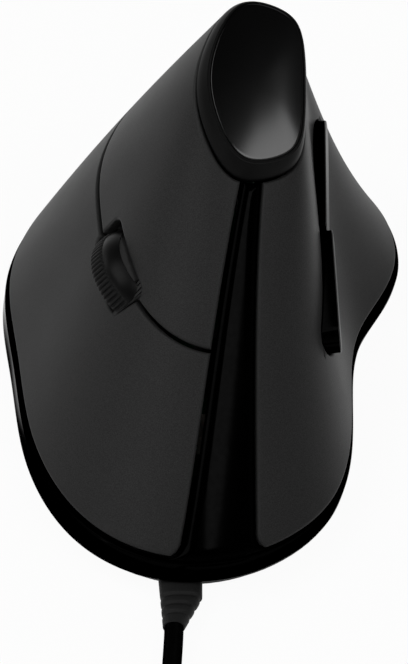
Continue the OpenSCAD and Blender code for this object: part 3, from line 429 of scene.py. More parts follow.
def edge_distance(points, a, b, reach):
    """Distance of each point to the nearest segment, exact within reach."""
    out = np.full(len(points), reach)
    tree = kdtree.KDTree(len(a))
    for i, p in enumerate((a + b) / 2):
        tree.insert(p, i)
    tree.balance()
    slack = reach + np.linalg.norm(b - a, axis=1).max()
    near = [i for i, p in enumerate(points) if tree.find(p)[2] < slack]
    d = b - a
    dd = np.maximum((d * d).sum(1), 1e-12)
    for chunk in np.array_split(np.array(near, int), max(1, len(near) // 400)):
        w = points[chunk][:, None, :] - a[None]
        t = np.clip((w * d).sum(2) / dd, 0, 1)
        gap = np.linalg.norm(w - t[..., None] * d, axis=2).min(1)
        out[chunk] = np.minimum(reach, gap)
    return out


def round_depth(dist, r):
    """Depth of a rounded edge of radius r at a distance from the edge."""
    x = np.clip(r - dist, 0, r)
    return r - np.sqrt(np.maximum(r * r - x * x, 0))


def grid_faces(rows, cols, start=0):
    lower = [start + j * cols + i for j in range(rows - 1) for i in range(cols - 1)]
    return [(v, v + 1, v + cols + 1, v + cols) for v in lower]


def weld(points, faces, *extra):
    """Merges points that coincide. The extra arrays keep the first of each."""
    index, keep, remap = {}, [], np.zeros(len(points), int)
    for i, p in enumerate(np.round(points, 4)):
        key = tuple(p)
        if key not in index:
            index[key] = len(keep)
            keep.append(i)
        remap[i] = index[key]
    merged = []
    for f in faces:
        g = [int(remap[v]) for v in f]
        g = [v for n, v in enumerate(g) if v != g[n - 1]]
        if len(g) > 2:
            merged.append(tuple(g))
    return points[keep], merged, *[e[keep] for e in extra]


def shell_solid(points, normals, faces, depth, thick):
    """Closes an open sheet: the outside sunk by depth, walls at open edges, an inside at thick.
    Returns the true normals too, for the vertices that aren't sunk."""
    n = len(points)
    true = np.concatenate([normals * (depth < 1e-9)[:, None], np.zeros_like(normals)])
    verts = np.concatenate([points - normals * depth[:, None], points - normals * thick])
    walls = [(b, a, a + n, b + n) for a, b in boundary_edges(faces)]
    return verts, faces + [tuple(v + n for v in reversed(f)) for f in faces] + walls, true


# Panels on the body surface
EDGE = np.array([0, 0.05, 0.13, 0.25, 0.4, 0.6, 0.9, 1.4])
EDGE_ROUNDS, SLOT_ROUNDS, SQUARE_ROUNDS, HALVINGS = 12, 10, 4, 24
LOW_GUESS, THUMB_GUESS, SLIT_GUESS, TOP_GUESS = 0.05, 0.4, 0.5, 0.98


class Columns:
    """Lines that run up the body: some follow an edge each, the rest share the width."""

    def __init__(self, left, right, shares, bend=None):
        self.left, self.right, self.bend = left, right, bend
        self.shares = np.asarray(shares, float)
        self.n = 2 * len(EDGE) + len(self.shares)

    def k(self, h):
        """Stations of all columns, each at its own height."""
        m = len(EDGE)
        h = np.broadcast_to(np.asarray(h, float), (self.n,))
        a, b = self.left(h), self.right(h)
        ga, gb = station_gap(a, h, 1.0), station_gap(b, h, 1.0)
        out = np.empty(self.n)
        out[:m] = a[:m] + EDGE * ga[:m]
        out[-m:] = b[-m:] - EDGE[::-1] * gb[-m:]
        lo, hi = a + EDGE[-1] * ga, b - EDGE[-1] * gb
        out[m:-m] = lerp(lo[m:-m], hi[m:-m], self.shares)
        return out if self.bend is None else self.bend(out, h)


def edge_height(cols, edge, guess):
    """Height of each column where it meets an edge that is a function of the station."""
    h = np.full(cols.n, guess)
    for _ in range(EDGE_ROUNDS):
        h = edge(cols.k(h))
    return h


def shifted(edge, gap):
    """An edge moved up the body by a gap in millimetres."""
    return lambda k: edge(k) + height_gap(k, edge(k), gap)


def slot_half_width(x):
    inner_lo, inner_hi = SLOT_X[0] + SLOT_R, SLOT_X[1] - SLOT_R
    over = np.clip(np.maximum(inner_lo - x, x - inner_hi), 0, SLOT_R)
    return SLOT_Y - SLOT_R + np.sqrt(SLOT_R ** 2 - over ** 2)


def slot_height(cols, h, side):
    """Moves an edge's heights to the rim of the wheel slot where the slot is."""
    h = h.copy()
    x, _, _ = local(skin(cols.k(h), h), *FINGER_AXES)
    hit = (x > SLOT_X[0]) & (x < SLOT_X[1])
    goal = h.copy()
    for _ in range(SLOT_ROUNDS):
        k = cols.k(goal)
        x, y, _ = local(skin(k, goal), *FINGER_AXES)
        step = (side * slot_half_width(x) - y) / (upward(k, goal) @ FINGER_Y)
        goal = np.where(hit, goal + step, goal)
    return goal


def rows_between(low, high, cols, share, low_lines, high_lines):
    """Heights of the rows of each column: set distances from both edges, the rest shared."""
    k = cols.k((low + high) / 2)
    rise = height_gap(k, (low + high) / 2, 1.0)
    out = [low + d * rise for d in low_lines]
    lo, hi = low + low_lines[-1] * rise, high - high_lines[-1] * rise
    out += [lerp(lo, hi, t) for t in share]
    out += [high - d * rise for d in high_lines[::-1]]
    return np.array(out)


def detour(heights, plain, moved, reach=0.16):
    """Rows of columns whose edge is moved: those near it make room, the rest stay level."""
    way, room = np.sign(moved - plain), np.abs(moved - plain)
    d = np.abs(heights - plain)
    pushed = plain + way * (room + d * (1 - room / reach))
    return np.where((d < reach) & (room > 0), pushed, heights)


CORNER_LINES = np.concatenate([EDGE, [2.0, 2.6, 3.2, 3.8, 4.6]])


def even(n):
    return np.arange(1, n) / n


CLUSTER_STEPS = np.array([0.1, 0.3, 0.5, 0.75, 1.1, 1.6])
CLUSTER_CLEAR, END_CLEAR = 0.15, 0.001


def with_clusters(shares, marks, length):
    """Adds lines close to the marks, which are shares too."""
    steps = CLUSTER_STEPS / length
    extra = [m + s * d for m in marks for s in (-1, 1) for d in steps]
    allv = np.unique(np.round(np.concatenate([shares, extra]), 6))
    allv = allv[(allv > END_CLEAR) & (allv < 1 - END_CLEAR)]
    keep = [allv[0]]
    fixed = set(np.round(extra, 6))
    for v in allv[1:]:
        if v - keep[-1] > CLUSTER_CLEAR / length or v in fixed:
            keep.append(v)
    return np.array(keep)


def sheet_points(cols, heights):
    k = np.array([cols.k(h) for h in heights])
    return skin(k, heights).reshape(-1, 3), outward(k, heights).reshape(-1, 3)


def slot_marks(left, right, count=400):
    """Shares of the columns that meet the two ends of the wheel slot."""
    probe = Columns(left, right, even(count))
    h = edge_height(probe, slit, SLIT_GUESS)
    x, _, _ = local(skin(probe.k(h), h), *FINGER_AXES)
    m = len(EDGE)
    xs, shares = x[m:-m], probe.shares
    order = np.argsort(xs)
    return [float(np.interp(v, xs[order], shares[order])) for v in SLOT_X]


def finger_left(h):
    return REAR_SEAM + station_gap(REAR_SEAM, h, SEAM_GAP)


def finger_right(h):
    return spine_left(h) - station_gap(0, h, PRESS_GAP)


PANEL_R, EDGE_REACH = 0.55, 1.0
FINGER_LEN, COVER_LEN = 110.0, 190.0
FINGER_COUNT, COVER_COUNT, PROBE_COUNT = 110, 170, 1200
FINGER_ROWS, LOWER_ROWS, UPPER_ROWS = 30, 26, 34
SQUARE_ALONG, SQUARE_ACROSS = (22, 11), (9.5, 4.7)
finger_marks = slot_marks(finger_left, finger_right)
finger_shares = with_clusters(even(FINGER_COUNT), finger_marks, FINGER_LEN)
finger_plain = Columns(finger_left, finger_right, finger_shares)
slit_h = edge_height(finger_plain, slit, SLIT_GUESS)
slit_x, _, _ = local(skin(finger_plain.k(slit_h), slit_h), *FINGER_AXES)


def square_to_slot(k, h):
    """Turns the columns near the wheel slot square to it, and leaves the rest as they are."""
    p = skin(k, h)
    _, y, _ = local(p, *FINGER_AXES)
    beside = np.clip((SQUARE_ALONG[0] - np.abs(slit_x - sum(SLOT_X) / 2)) / SQUARE_ALONG[1], 0, 1)
    across = np.clip((SQUARE_ACROSS[0] - np.abs(y)) / SQUARE_ACROSS[1], 0, 1)
    weight = beside ** 2 * (3 - 2 * beside) * across ** 2 * (3 - 2 * across)
    exact = k.copy()
    for _ in range(SQUARE_ROUNDS):
        x, _, _ = local(skin(exact, h), *FINGER_AXES)
        exact = exact + (slit_x - x) / (along(exact, h) @ FINGER_X)
    return np.where(weight > 0, lerp(k, exact, weight), k)


finger_cols = Columns(finger_left, finger_right, finger_shares, square_to_slot)


def finger_panel(name, low, high, share, low_lines, plain, side):
    heights = rows_between(low, high, finger_cols, share, low_lines, EDGE)
    heights = detour(heights, plain, slot_height(finger_cols, plain, side))
    pts, nrm = sheet_points(finger_cols, heights)
    faces = grid_faces(len(heights), finger_cols.n)
    rimmed = boundary_edges(faces)
    a, b = np.array(rimmed).T
    depth = round_depth(edge_distance(pts, pts[a], pts[b], EDGE_REACH), PANEL_R)
    verts, closed, true = shell_solid(pts, nrm, faces, depth, SHELL_T)
    piece(name + "_panel", verts, closed, "soft_touch", name, name, normals=true)


slit_up = edge_height(finger_cols, shifted(slit, SLIT_W / 2), SLIT_GUESS)
slit_down = edge_height(finger_cols, shifted(slit, -SLIT_W / 2), SLIT_GUESS)
finger_top = edge_height(finger_cols, crest_edge, TOP_GUESS)
finger_low = edge_height(finger_cols, shifted(skirt_edge, PRESS_GAP), LOW_GUESS)
finger_panel("left_button", slit_up, finger_top, even(FINGER_ROWS), EDGE, slit_up, 1)
finger_panel("right_button", finger_low, slit_down, even(FINGER_ROWS), CORNER_LINES, slit_down, -1)


# Cover over the thumb side and the back, with the openings of the thumb buttons
OPEN_REACH, OPEN_PROBES, OPEN_OVERLAP = 0.16, 321, 2


def thumb_inside(p, grow):
    """True where a point of the surface lies in the opening of the thumb buttons."""
    inside = np.zeros(p.shape[:-1], bool)
    r = THUMB_H / 2
    for at, s in ((BACK_AT, -1), (FORWARD_AT, 1)):
        x, y, _ = local(p, *thumb_axes(at))
        x = s * x
        body = (np.abs(y) <= r + grow) & (x >= -THUMB_L / 2 - grow) & (x <= THUMB_L / 2 - r)
        end = np.hypot(x - (THUMB_L / 2 - r), y) <= r + grow
        inside |= body | (end & (x > 0))
    x, y, _ = local(p, THUMB_O, THUMB_X, THUMB_Y, THUMB_N)
    return inside | ((np.abs(x) < THUMB_GAP / 2 + OPEN_OVERLAP) & (np.abs(y) < r + grow))


def cover_left(h):
    return spine_right(h) + station_gap(0, h, SEAM_GAP)


def cover_right(h):
    return np.full(np.shape(h), REAR_SEAM + STATIONS) if np.ndim(h) else REAR_SEAM + STATIONS


def thumb_line(k):
    """Height of the line along the middle of the thumb buttons, level beyond their ends."""
    t = np.clip((k - FORWARD_AT[0]) / (BACK_AT[0] - FORWARD_AT[0]), -0.5, 1.5)
    return lerp(FORWARD_AT[1], BACK_AT[1], t)


def thumb_span(cols):
    """Lower and upper heights of the opening on each column, the middle line where it is closed."""
    mid = edge_height(cols, thumb_line, THUMB_GUESS)
    low, high = mid.copy(), mid.copy()
    probes = np.linspace(-OPEN_REACH, OPEN_REACH, OPEN_PROBES)
    hit = np.array([thumb_inside(skin(cols.k(mid + d), mid + d), THUMB_PLAY) for d in probes])
    for i in np.nonzero(hit.any(0))[0]:
        on = np.nonzero(hit[:, i])[0]
        low[i], high[i] = mid[i] + probes[on[0]], mid[i] + probes[on[-1]]
    step = probes[1] - probes[0]
    for edge, sign in ((low, -1), (high, 1)):
        active = hit.any(0)
        inner, outer = edge.copy(), edge + sign * step
        for _ in range(HALVINGS):
            m = (inner + outer) / 2
            ok = thumb_inside(skin(cols.k(m), m), THUMB_PLAY)
            inner, outer = np.where(ok, m, inner), np.where(ok, outer, m)
        edge[:] = np.where(active, inner, edge)
    return low, high, hit.any(0)


cover_probe = Columns(cover_left, cover_right, even(PROBE_COUNT))
_, _, open_at = thumb_span(cover_probe)
open_shares = cover_probe.shares[open_at[len(EDGE):-len(EDGE)]]
cover_shares = with_clusters(even(COVER_COUNT), [open_shares[0], open_shares[-1]], COVER_LEN)
cover_cols = Columns(cover_left, cover_right, cover_shares)
cover_low = edge_height(cover_cols, shifted(skirt_edge, SEAM_GAP), LOW_GUESS)
cover_top = edge_height(cover_cols, crest_edge, TOP_GUESS)
open_low, open_high, _ = thumb_span(cover_cols)
lower_rows = rows_between(cover_low, open_low, cover_cols, even(LOWER_ROWS), CORNER_LINES, EDGE)
upper_rows = rows_between(open_high, cover_top, cover_cols, even(UPPER_ROWS), EDGE, EDGE)
lower_pts, lower_nrm = sheet_points(cover_cols, lower_rows)
upper_pts, upper_nrm = sheet_points(cover_cols, upper_rows)
cover_faces = grid_faces(len(lower_rows), cover_cols.n)
cover_faces += grid_faces(len(upper_rows), cover_cols.n, len(lower_pts))
cover_pts, cover_faces, cover_nrm = weld(np.concatenate([lower_pts, upper_pts]), cover_faces,
                                         np.concatenate([lower_nrm, upper_nrm]))
edge_a, edge_b = np.array(boundary_edges(cover_faces)).T
cover_gap = edge_distance(cover_pts, cover_pts[edge_a], cover_pts[edge_b], EDGE_REACH)
cover_depth = round_depth(cover_gap, PANEL_R)
cover_verts, cover_closed, cover_true = shell_solid(cover_pts, cover_nrm, cover_faces,
                                                    cover_depth, SHELL_T)
piece("hand_cover_panel", cover_verts, cover_closed, "soft_touch", "case", "hand_cover",
      normals=cover_true)


# Gloss skirt and spine in one piece; to its foot the band draws in right and flares left
SKIRT_BEND, SKIRT_DRAFT, SKIRT_FLARE = 1.6, 0.45, 0.65
TURN_SHARE, PROFILE_STEP = 0.6, 0.02


def ring_point(k, v):
    """Skirt profile: v from 0 to 1 up the band, to 2 round its bend, to 3 up the body surface."""
    k, v = np.broadcast_arrays(np.asarray(k, float), np.asarray(v, float))
    f = foot(k)
    edge = skirt_edge(k)
    turn = TURN_SHARE * edge
    top_z = skirt_top(k)
    way = foot(k + STATION_STEP) - foot(k - STATION_STEP)
    facing = unit(np.stack([way[..., 1], -way[..., 0]], -1))
    side = np.where(facing[..., 0] < 0, -SKIRT_FLARE, SKIRT_DRAFT)
    draft = side * facing[..., 0] ** 2 * np.clip(1 - v, 0, 1)
    band = np.concatenate([f - facing * draft[..., None],
                           lerp(SKIRT_LIFT, top_z - SKIRT_BEND, np.clip(v, 0, 1))[..., None]], -1)
    p0 = np.concatenate([f, (top_z - SKIRT_BEND)[..., None]], -1)
    p1 = np.concatenate([f, top_z[..., None]], -1)
    p2 = skin(k, turn)
    t = np.clip(v - 1, 0, 1)[..., None]
    bend = (1 - t) ** 2 * p0 + 2 * t * (1 - t) * p1 + t * t * p2
    top = skin(k, lerp(turn, edge, np.clip(v - 2, 0, 1)))
    return np.where((v <= 1)[..., None], band, np.where((v <= 2)[..., None], bend, top))


def ring_normal(k, v):
    du = ring_point(k + STATION_STEP, v) - ring_point(k - STATION_STEP, v)
    above, below = np.minimum(v + PROFILE_STEP, 3), np.maximum(v - PROFILE_STEP, 0)
    dv = ring_point(k, above) - ring_point(k, below)
    return unit(np.cross(du, dv))


SPINE_COLS, RING_COLS = 40, 300
SPINE_LEN, CORNER_ROWS, SPINE_ROWS = 70, 13, 41
LOW_R, LOW_REACH, TOP_R, TOP_REACH = 0.5, 1.4, 0.3, 2.4
BEVEL_W, BEVEL_D, LEVEL = 2.2, 0.45, 0.01
edge_0 = float(skirt_edge(0))
spine_share = np.linspace(0, 1, SPINE_COLS + 1)
spine_a, spine_b = float(spine_left(edge_0)), float(spine_right(edge_0))
spine_k = lerp(spine_a, spine_b, spine_share)
rest_k = lerp(spine_b, spine_a + STATIONS, np.linspace(0, 1, RING_COLS + 1))
ring_k = np.concatenate([spine_k, rest_k[1:]])
ring_v = np.concatenate([EDGE / (SKIRT_H - SKIRT_BEND), [1], 1 + even(9), [2, 2.4, 2.75, 3]])
ring_K, ring_V = np.meshgrid(ring_k, ring_v)
ring_pts = ring_point(ring_K, ring_V).reshape(-1, 3)
ring_nrm = ring_normal(ring_K, ring_V).reshape(-1, 3)
ring_faces = grid_faces(len(ring_v), len(ring_k))

spine_low = skirt_edge(spine_k)
spine_top = np.full(SPINE_COLS + 1, float(crest_edge(0)))
corner_top = edge_0 + CORNER_RISE
spine_h = [lerp(spine_low, corner_top, 1 - math.cos(math.pi / 2 * t))
           for t in np.linspace(0, 1, CORNER_ROWS)]
spine_h += [lerp(corner_top, spine_top, t) for t in np.linspace(0, 1, SPINE_ROWS)[1:-1]]
spine_h += [spine_top - d / SPINE_LEN for d in EDGE[::-1]]
spine_H = np.array(spine_h)
spine_K = np.array([lerp(spine_left(h), spine_right(h), spine_share) for h in spine_H])
spine_pts = skin(spine_K, spine_H).reshape(-1, 3)
spine_nrm = outward(spine_K, spine_H).reshape(-1, 3)
frame_faces = ring_faces + grid_faces(len(spine_H), SPINE_COLS + 1, len(ring_pts))
frame_pts, frame_faces, frame_nrm = weld(np.concatenate([ring_pts, spine_pts]), frame_faces,
                                         np.concatenate([ring_nrm, spine_nrm]))
edges = np.array(boundary_edges(frame_faces))
is_low = (frame_pts[edges][:, :, 2] < SKIRT_LIFT + LEVEL).all(1)
low_a, low_b = edges[is_low].T
top_a, top_b = edges[~is_low].T
low_d = edge_distance(frame_pts, frame_pts[low_a], frame_pts[low_b], LOW_REACH)
top_d = edge_distance(frame_pts, frame_pts[top_a], frame_pts[top_b], TOP_REACH)
frame_depth = round_depth(low_d, LOW_R) + round_depth(top_d, TOP_R)
frame_depth += BEVEL_D * np.clip(1 - top_d / BEVEL_W, 0, 1) ** 2
frame_verts, frame_closed, frame_true = shell_solid(frame_pts, frame_nrm, frame_faces,
                                                    frame_depth, SHELL_T)
piece("gloss_skirt_spine", frame_verts, frame_closed, "gloss_black", "case", "gloss_frame",
      normals=frame_true)


# Badge: satin bezel and a gloss window with a slight crown
BADGE_C = CREST_C + CREST_N * BADGE_RAISE + CREST_P * BADGE_SHIFT[0] + CREST_Q * BADGE_SHIFT[1]
BADGE_STEPS = 192
badge_k = np.arange(BADGE_STEPS) * STATIONS / BADGE_STEPS
a0, b0 = BADGE_W / 2, BADGE_L / 2
BEZEL_R, BEZEL_SWELL, BEZEL_SINK = 0.22, 0.25, 0.25
LIP_CHAMFER, LIP_SINK = 0.08, 0.1
BEZEL_SHARES, BEZEL_TURNS = (0.06, 0.2, 0.4, 0.6, 0.8, 0.92), (0, 30, 60, 90)


def badge_oval(z, inset):
    """Oval in the badge's plane, raised by z and drawn in from the badge's edge."""
    return oval(BADGE_C + CREST_N * z, a0 - inset, b0 - inset, badge_k)


def loop_faces(m, n, rows):
    """Faces between neighbours of m loops with n points each; m rows join the last to the first."""
    faces = []
    for j in range(rows):
        a, b = j * n, (j + 1) % m * n
        faces += [(a + i, a + (i + 1) % n, b + (i + 1) % n, b + i) for i in range(n)]
    return faces


def ring_solid(loops):
    """Closed ring through loops of points that run round it."""
    loops = np.array(loops)
    m, n = loops.shape[:2]
    return loops.reshape(-1, 3), loop_faces(m, n, m)


rim_up, rim_out = rim(badge_k), outward(badge_k, 1.0)
bezel_loops = [rim_up - rim_out * SHELL_T, rim_up - rim_out * BEZEL_SINK]
bezel_side = unit(np.cross(CREST_N, np.cross(rim_up - CREST_C, CREST_N)))
for t in BEZEL_SHARES:
    swell = BEZEL_SWELL * math.sin(math.pi * t) * bezel_side
    bezel_loops.append(lerp(rim_up, badge_oval(0, 0), t) + swell)
for ang in BEZEL_TURNS:
    c, s = math.cos(math.radians(ang)), math.sin(math.radians(ang))
    bezel_loops.append(badge_oval(-BEZEL_R * (1 - s), BEZEL_R * (1 - c)))
bezel_loops += [badge_oval(0, BADGE_LIP - LIP_CHAMFER), badge_oval(-LIP_SINK, BADGE_LIP),
                badge_oval(-WINDOW_T, BADGE_LIP), badge_oval(-WINDOW_T, BADGE_LIP + BADGE_LEDGE)]
bezel_verts, bezel_faces = ring_solid(bezel_loops)
piece("badge_bezel_ring", bezel_verts, bezel_faces, "bezel_satin", "case", "badge_bezel")

WINDOW_GAP, WINDOW_CROWN, WINDOW_SINK = 0.1, 0.45, 0.01
WINDOW_EDGE = ((1, -WINDOW_T + 0.02), (1, -0.12), (0.995, -0.04))
WINDOW_SHARES = (0.985, 0.96, 0.92, 0.86, 0.78, 0.68, 0.57, 0.46, 0.35, 0.24, 0.14, 0.06)
aw, bw = a0 - BADGE_LIP - WINDOW_GAP, b0 - BADGE_LIP - WINDOW_GAP


def window_loop(share, z):
    return oval(BADGE_C + CREST_N * z, aw * share, bw * share, badge_k)


window_loops = [window_loop(share, z) for share, z in WINDOW_EDGE]
for share in WINDOW_SHARES:
    window_loops.append(window_loop(share, WINDOW_CROWN * (1 - share ** 2) - WINDOW_SINK))


def capped(loops, last=None):
    """Solid through loops, each end closed by a fan to a point."""
    loops = np.array(loops)
    m, n = loops.shape[:2]
    verts = list(loops.reshape(-1, 3))
    faces = loop_faces(m, n, m - 1)
    start = loops[0].mean(0)
    end = loops[-1].mean(0) if last is None else last
    verts += [start, end]
    s, e, o = len(verts) - 2, len(verts) - 1, (m - 1) * n
    faces += [(s, (i + 1) % n, i) for i in range(n)]
    faces += [(e, o + i, o + (i + 1) % n) for i in range(n)]
    return np.array(verts), faces


window_top = BADGE_C + CREST_N * (WINDOW_CROWN - WINDOW_SINK)
window_verts, window_faces = capped(window_loops, last=window_top)
piece("badge_gloss_window", window_verts, window_faces, "badge_gloss", "case", "badge_window")


# Thumb buttons
def arc(x, y, r, start, end, n):
    """Points of an arc between two angles in degrees."""
    turns = np.radians(np.linspace(start, end, n))
    return [(x + r * math.cos(a), y + r * math.sin(a)) for a in turns]


def thumb_outline(s, grow):
    """Outline with a round end on the side s and two small corners on the other."""
    r, c, end = THUMB_H / 2, THUMB_INNER_R, THUMB_L / 2
    pts = arc(end - r, 0, r + grow, -90, 90, 41)
    pts += [(x, r + grow) for x in np.linspace(end - r, c - end, 14)[1:-1]]
    pts += arc(c - end, r - c, c + grow, 90, 180, 9)
    pts += [(-end - grow, y) for y in np.linspace(r - c, c - r, 8)[1:-1]]
    pts += arc(c - end, c - r, c + grow, 180, 270, 9)
    pts += [(x, -r - grow) for x in np.linspace(c - end, end - r, 14)[1:-1]]
    return np.array(pts if s > 0 else [(-x, y) for x, y in pts[::-1]])


CAP_R, CAP_FALL, CAP_SINK, CAP_NECK = 0.35, 0.12, 1.7, 1.0
CAP_TURNS, CAP_SHARES = (15, 30, 45, 60, 75, 90), (0.9, 0.7, 0.4)


def thumb_piece(name, at, s):
    o, x, y, n = thumb_axes(at)
    levels = [(0, -SHELL_T - CAP_SINK), (0, -CAP_NECK), (0, THUMB_PROUD - CAP_R)]
    for ang in CAP_TURNS:
        c, sn = math.cos(math.radians(ang)), math.sin(math.radians(ang))
        levels.append((-CAP_R * (1 - c), THUMB_PROUD - CAP_R * (1 - sn)))
    loops = []
    for grow, z in levels:
        p = thumb_outline(s, grow)
        fall = CAP_FALL * (p[:, 1:] + THUMB_H / 2) * (z > 0)
        loops.append(o + p[:, :1] * x + p[:, 1:] * y + (z - fall) * n)
    face = loops[-1]
    loops += [face.mean(0) + (face - face.mean(0)) * share for share in CAP_SHARES]
    verts, faces = capped(loops)
    count = len(loops[0])
    under, side = faces[-2 * count:-count], faces[:3 * count]
    top = faces[3 * count:-2 * count] + faces[-count:]
    piece(name + "_cap", verts, under + side + top, "gloss_black", name, name,
          second=(BUTTON_SATIN, len(under + side)))


thumb_piece("back_button", BACK_AT, -1)
thumb_piece("forward_button", FORWARD_AT, 1)


# Scroll wheel tyre: ribs on the tread's lower half, a smooth shoulder on the other
AXLE_Z = WHEEL_PROUD - WHEEL_D / 2
HUB_R = WHEEL_D / 2 - TYRE_T
WHEEL_O = FINGER_O + FINGER_N * AXLE_Z
RIB_DEPTH = 0.4
RIB_SHAPE = ((0.0, 0.35), (0.1, 0.85), (0.2, 1.0), (0.45, 1.0),
             (0.55, 0.85), (0.65, 0.35), (0.74, 0.0), (0.9, 0.0))
rib_angle = [(i + a) * 2 * math.pi / WHEEL_RIBS for i in range(WHEEL_RIBS) for a, _ in RIB_SHAPE]
rib_high = np.array([v for _ in range(WHEEL_RIBS) for _, v in RIB_SHAPE])


def wheel_loop(radius, y):
    r = np.broadcast_to(np.asarray(radius, float), rib_high.shape)
    c, s = np.cos(rib_angle), np.sin(rib_angle)
    return WHEEL_O + FINGER_X * (r * c)[:, None] + FINGER_N * (r * s)[:, None] + FINGER_Y * y


R0 = WHEEL_D / 2 - RIB_DEPTH
half_w = WHEEL_W / 2
TREAD_END, HUB_PLAY = 0.2, 0.02
SIDE_LOOPS = ((0.9, 0), (0.35, 0.03))
TREAD_START = ((0.0, 0.25), (0.55, 0.5), (0.85, 0.8), (1.0, 1.2))
TREAD_STOP = ((1.0, 0.8), (0.85, 0.4), (0.4, 0.1), (0.0, 0.0))
SHOULDER_FALL, SHOULDER_POWER = 1.5, 1.8
SHOULDER_SHARES = (0.04, 0.15, 0.3, 0.45, 0.6, 0.75, 0.88, 1.0)
tyre_loops = [wheel_loop(HUB_R + HUB_PLAY, -half_w)]
tyre_loops += [wheel_loop(R0 - d, -half_w + y) for d, y in SIDE_LOOPS]
tread = [(share, -half_w + d) for share, d in TREAD_START]
tread += [(share, TREAD_END - d) for share, d in TREAD_STOP]
tyre_loops += [wheel_loop(R0 + RIB_DEPTH * rib_high * share, y) for share, y in tread]
TREAD_LOOPS = len(tyre_loops)
for t in SHOULDER_SHARES:
    fall = SHOULDER_FALL * t ** SHOULDER_POWER
    tyre_loops.append(wheel_loop(R0 - fall, lerp(TREAD_END, half_w, t)))
tyre_loops.append(wheel_loop(HUB_R + HUB_PLAY, half_w))
tyre_verts, tyre_faces = ring_solid(tyre_loops)
tyre_faces = [tuple(reversed(f)) for f in tyre_faces]
piece("wheel_tread", tyre_verts, tyre_faces, "wheel_rubber", "wheel", "wheel_tyre",
      second=(WHEEL_SIDE, TREAD_LOOPS * len(rib_high)))

# Strain relief: flat at the case, round at the cord, with three grooves round it
RELIEF_X, RELIEF_Z = -4.3, 3.3
RELIEF_END = np.array([-5.4, -68.4, 3.3])
CORD_D = 3.6
RELIEF_ROOT_Y = -BODY_L / 2 + 3.4
RELIEF_LEFT, RELIEF_RIGHT, RELIEF_TIP, RELIEF_TURN = 4.2, 4.15, 2.1, 0.42
RELIEF_HIGH, RELIEF_POWER, RELIEF_STEPS = (2.1, 1.95), (3.0, 2.0), 48
TIP_R, TIP_HIGH, TIP_L = 2.0, 1.86, 0.12
GROOVES, GROOVE_W, GROOVE_D = (0.46, 0.64, 0.81), 0.028, 0.34


def relief_loop(y, left, right, half_h, sink, power):
    """Rounded section across the relief, between its left and right sides."""
    mid, half = (left + right) / 2, (right - left) / 2
    out = []
    for i in range(RELIEF_STEPS):
        a = 2 * math.pi * i / RELIEF_STEPS
        c, s = math.cos(a), math.sin(a)
        x = math.copysign(abs(c) ** (2 / power), c) * (half - sink)
        z = math.copysign(abs(s) ** (2 / power), s) * (half_h - sink)
        out.append((mid + x, y, RELIEF_Z + z))
    return out


relief_loops = []
for t in np.linspace(0, 1, 61):
    y = lerp(RELIEF_ROOT_Y, RELIEF_END[1], t)
    left = lerp(RELIEF_X - RELIEF_LEFT, RELIEF_END[0] - RELIEF_TIP, t)
    fall = np.clip((t - RELIEF_TURN) / (1 - RELIEF_TURN), 0, 1)
    right = lerp(RELIEF_X + RELIEF_RIGHT, RELIEF_END[0] + RELIEF_TIP, fall)
    high, power = lerp(*RELIEF_HIGH, t), lerp(*RELIEF_POWER, t)
    groove = sum(math.exp(-((t - g) / GROOVE_W) ** 2) for g in GROOVES)
    relief_loops.append(relief_loop(y, left, right, high, GROOVE_D * min(1, groove), power))
relief_loops.append(relief_loop(RELIEF_END[1] - TIP_L, RELIEF_END[0] - TIP_R, RELIEF_END[0] + TIP_R,
                                TIP_HIGH, 0, RELIEF_POWER[1]))
relief_verts, relief_faces = capped(relief_loops)
relief_faces = [tuple(reversed(f)) for f in relief_faces]
piece("strain_relief_boot", relief_verts, relief_faces, "relief_rubber", "case", "strain_relief")

# Cord: lead, stowed coil in four layers and tail to the plug, on one curve
CORD_R = CORD_D / 2
COIL_C, COIL_R = (20.0, -117.5), 26.0
TURN_PITCH, COIL_TURNS, COIL_LAYERS = 4.1, 11, 4
TAIL_RUN = ((-26.8, -11, 13.2), (-27.6, -18, 10), (-26, -25.5, 6.6),
            (-21, -31.5, 4.6), (-14, -34.2, 4), (-9, -34.6, 4))
LEAD_RUN = ((-5.5, -72, 3.3), (-5.8, -79, 3.1), (-6, -87, 2.8), (-6, -96, 2.7))
COIL_LOW, TURN_STEPS, CLIMB = CORD_R + 0.9, 24, 0.5
COIL_TOP = COIL_LOW + (COIL_LAYERS - 1) * TURN_PITCH


def coil_point(t):
    span = COIL_TURNS / COIL_LAYERS
    layer = min(COIL_LAYERS - 1, math.floor(t / span))
    s = t - layer * span
    r = COIL_R - TURN_PITCH * (s if layer % 2 == 0 else span - s)
    near = math.floor(t / span + 0.5)
    c = min(1.0, max(0.0, (t - near * span + CLIMB / 2) / CLIMB))
    z = min(COIL_LAYERS - 1, max(0, near - 1 + c * c * (3 - 2 * c)))
    a = 2 * math.pi * t
    return (COIL_C[0] - r * math.cos(a), COIL_C[1] - r * math.sin(a), COIL_LOW + z * TURN_PITCH)


coil_x = COIL_C[0] - COIL_R
cord_points = [tuple(RELIEF_END), *LEAD_RUN, (coil_x, COIL_C[1] + CORD_D, COIL_LOW)]
cord_points += [coil_point(i / TURN_STEPS) for i in range(TURN_STEPS * COIL_TURNS + 1)]
cord_points += [(coil_x, COIL_C[1] - CORD_D, COIL_TOP)]
cord_points += [(COIL_C[0] + x, COIL_C[1] + y, z) for x, y, z in TAIL_RUN]


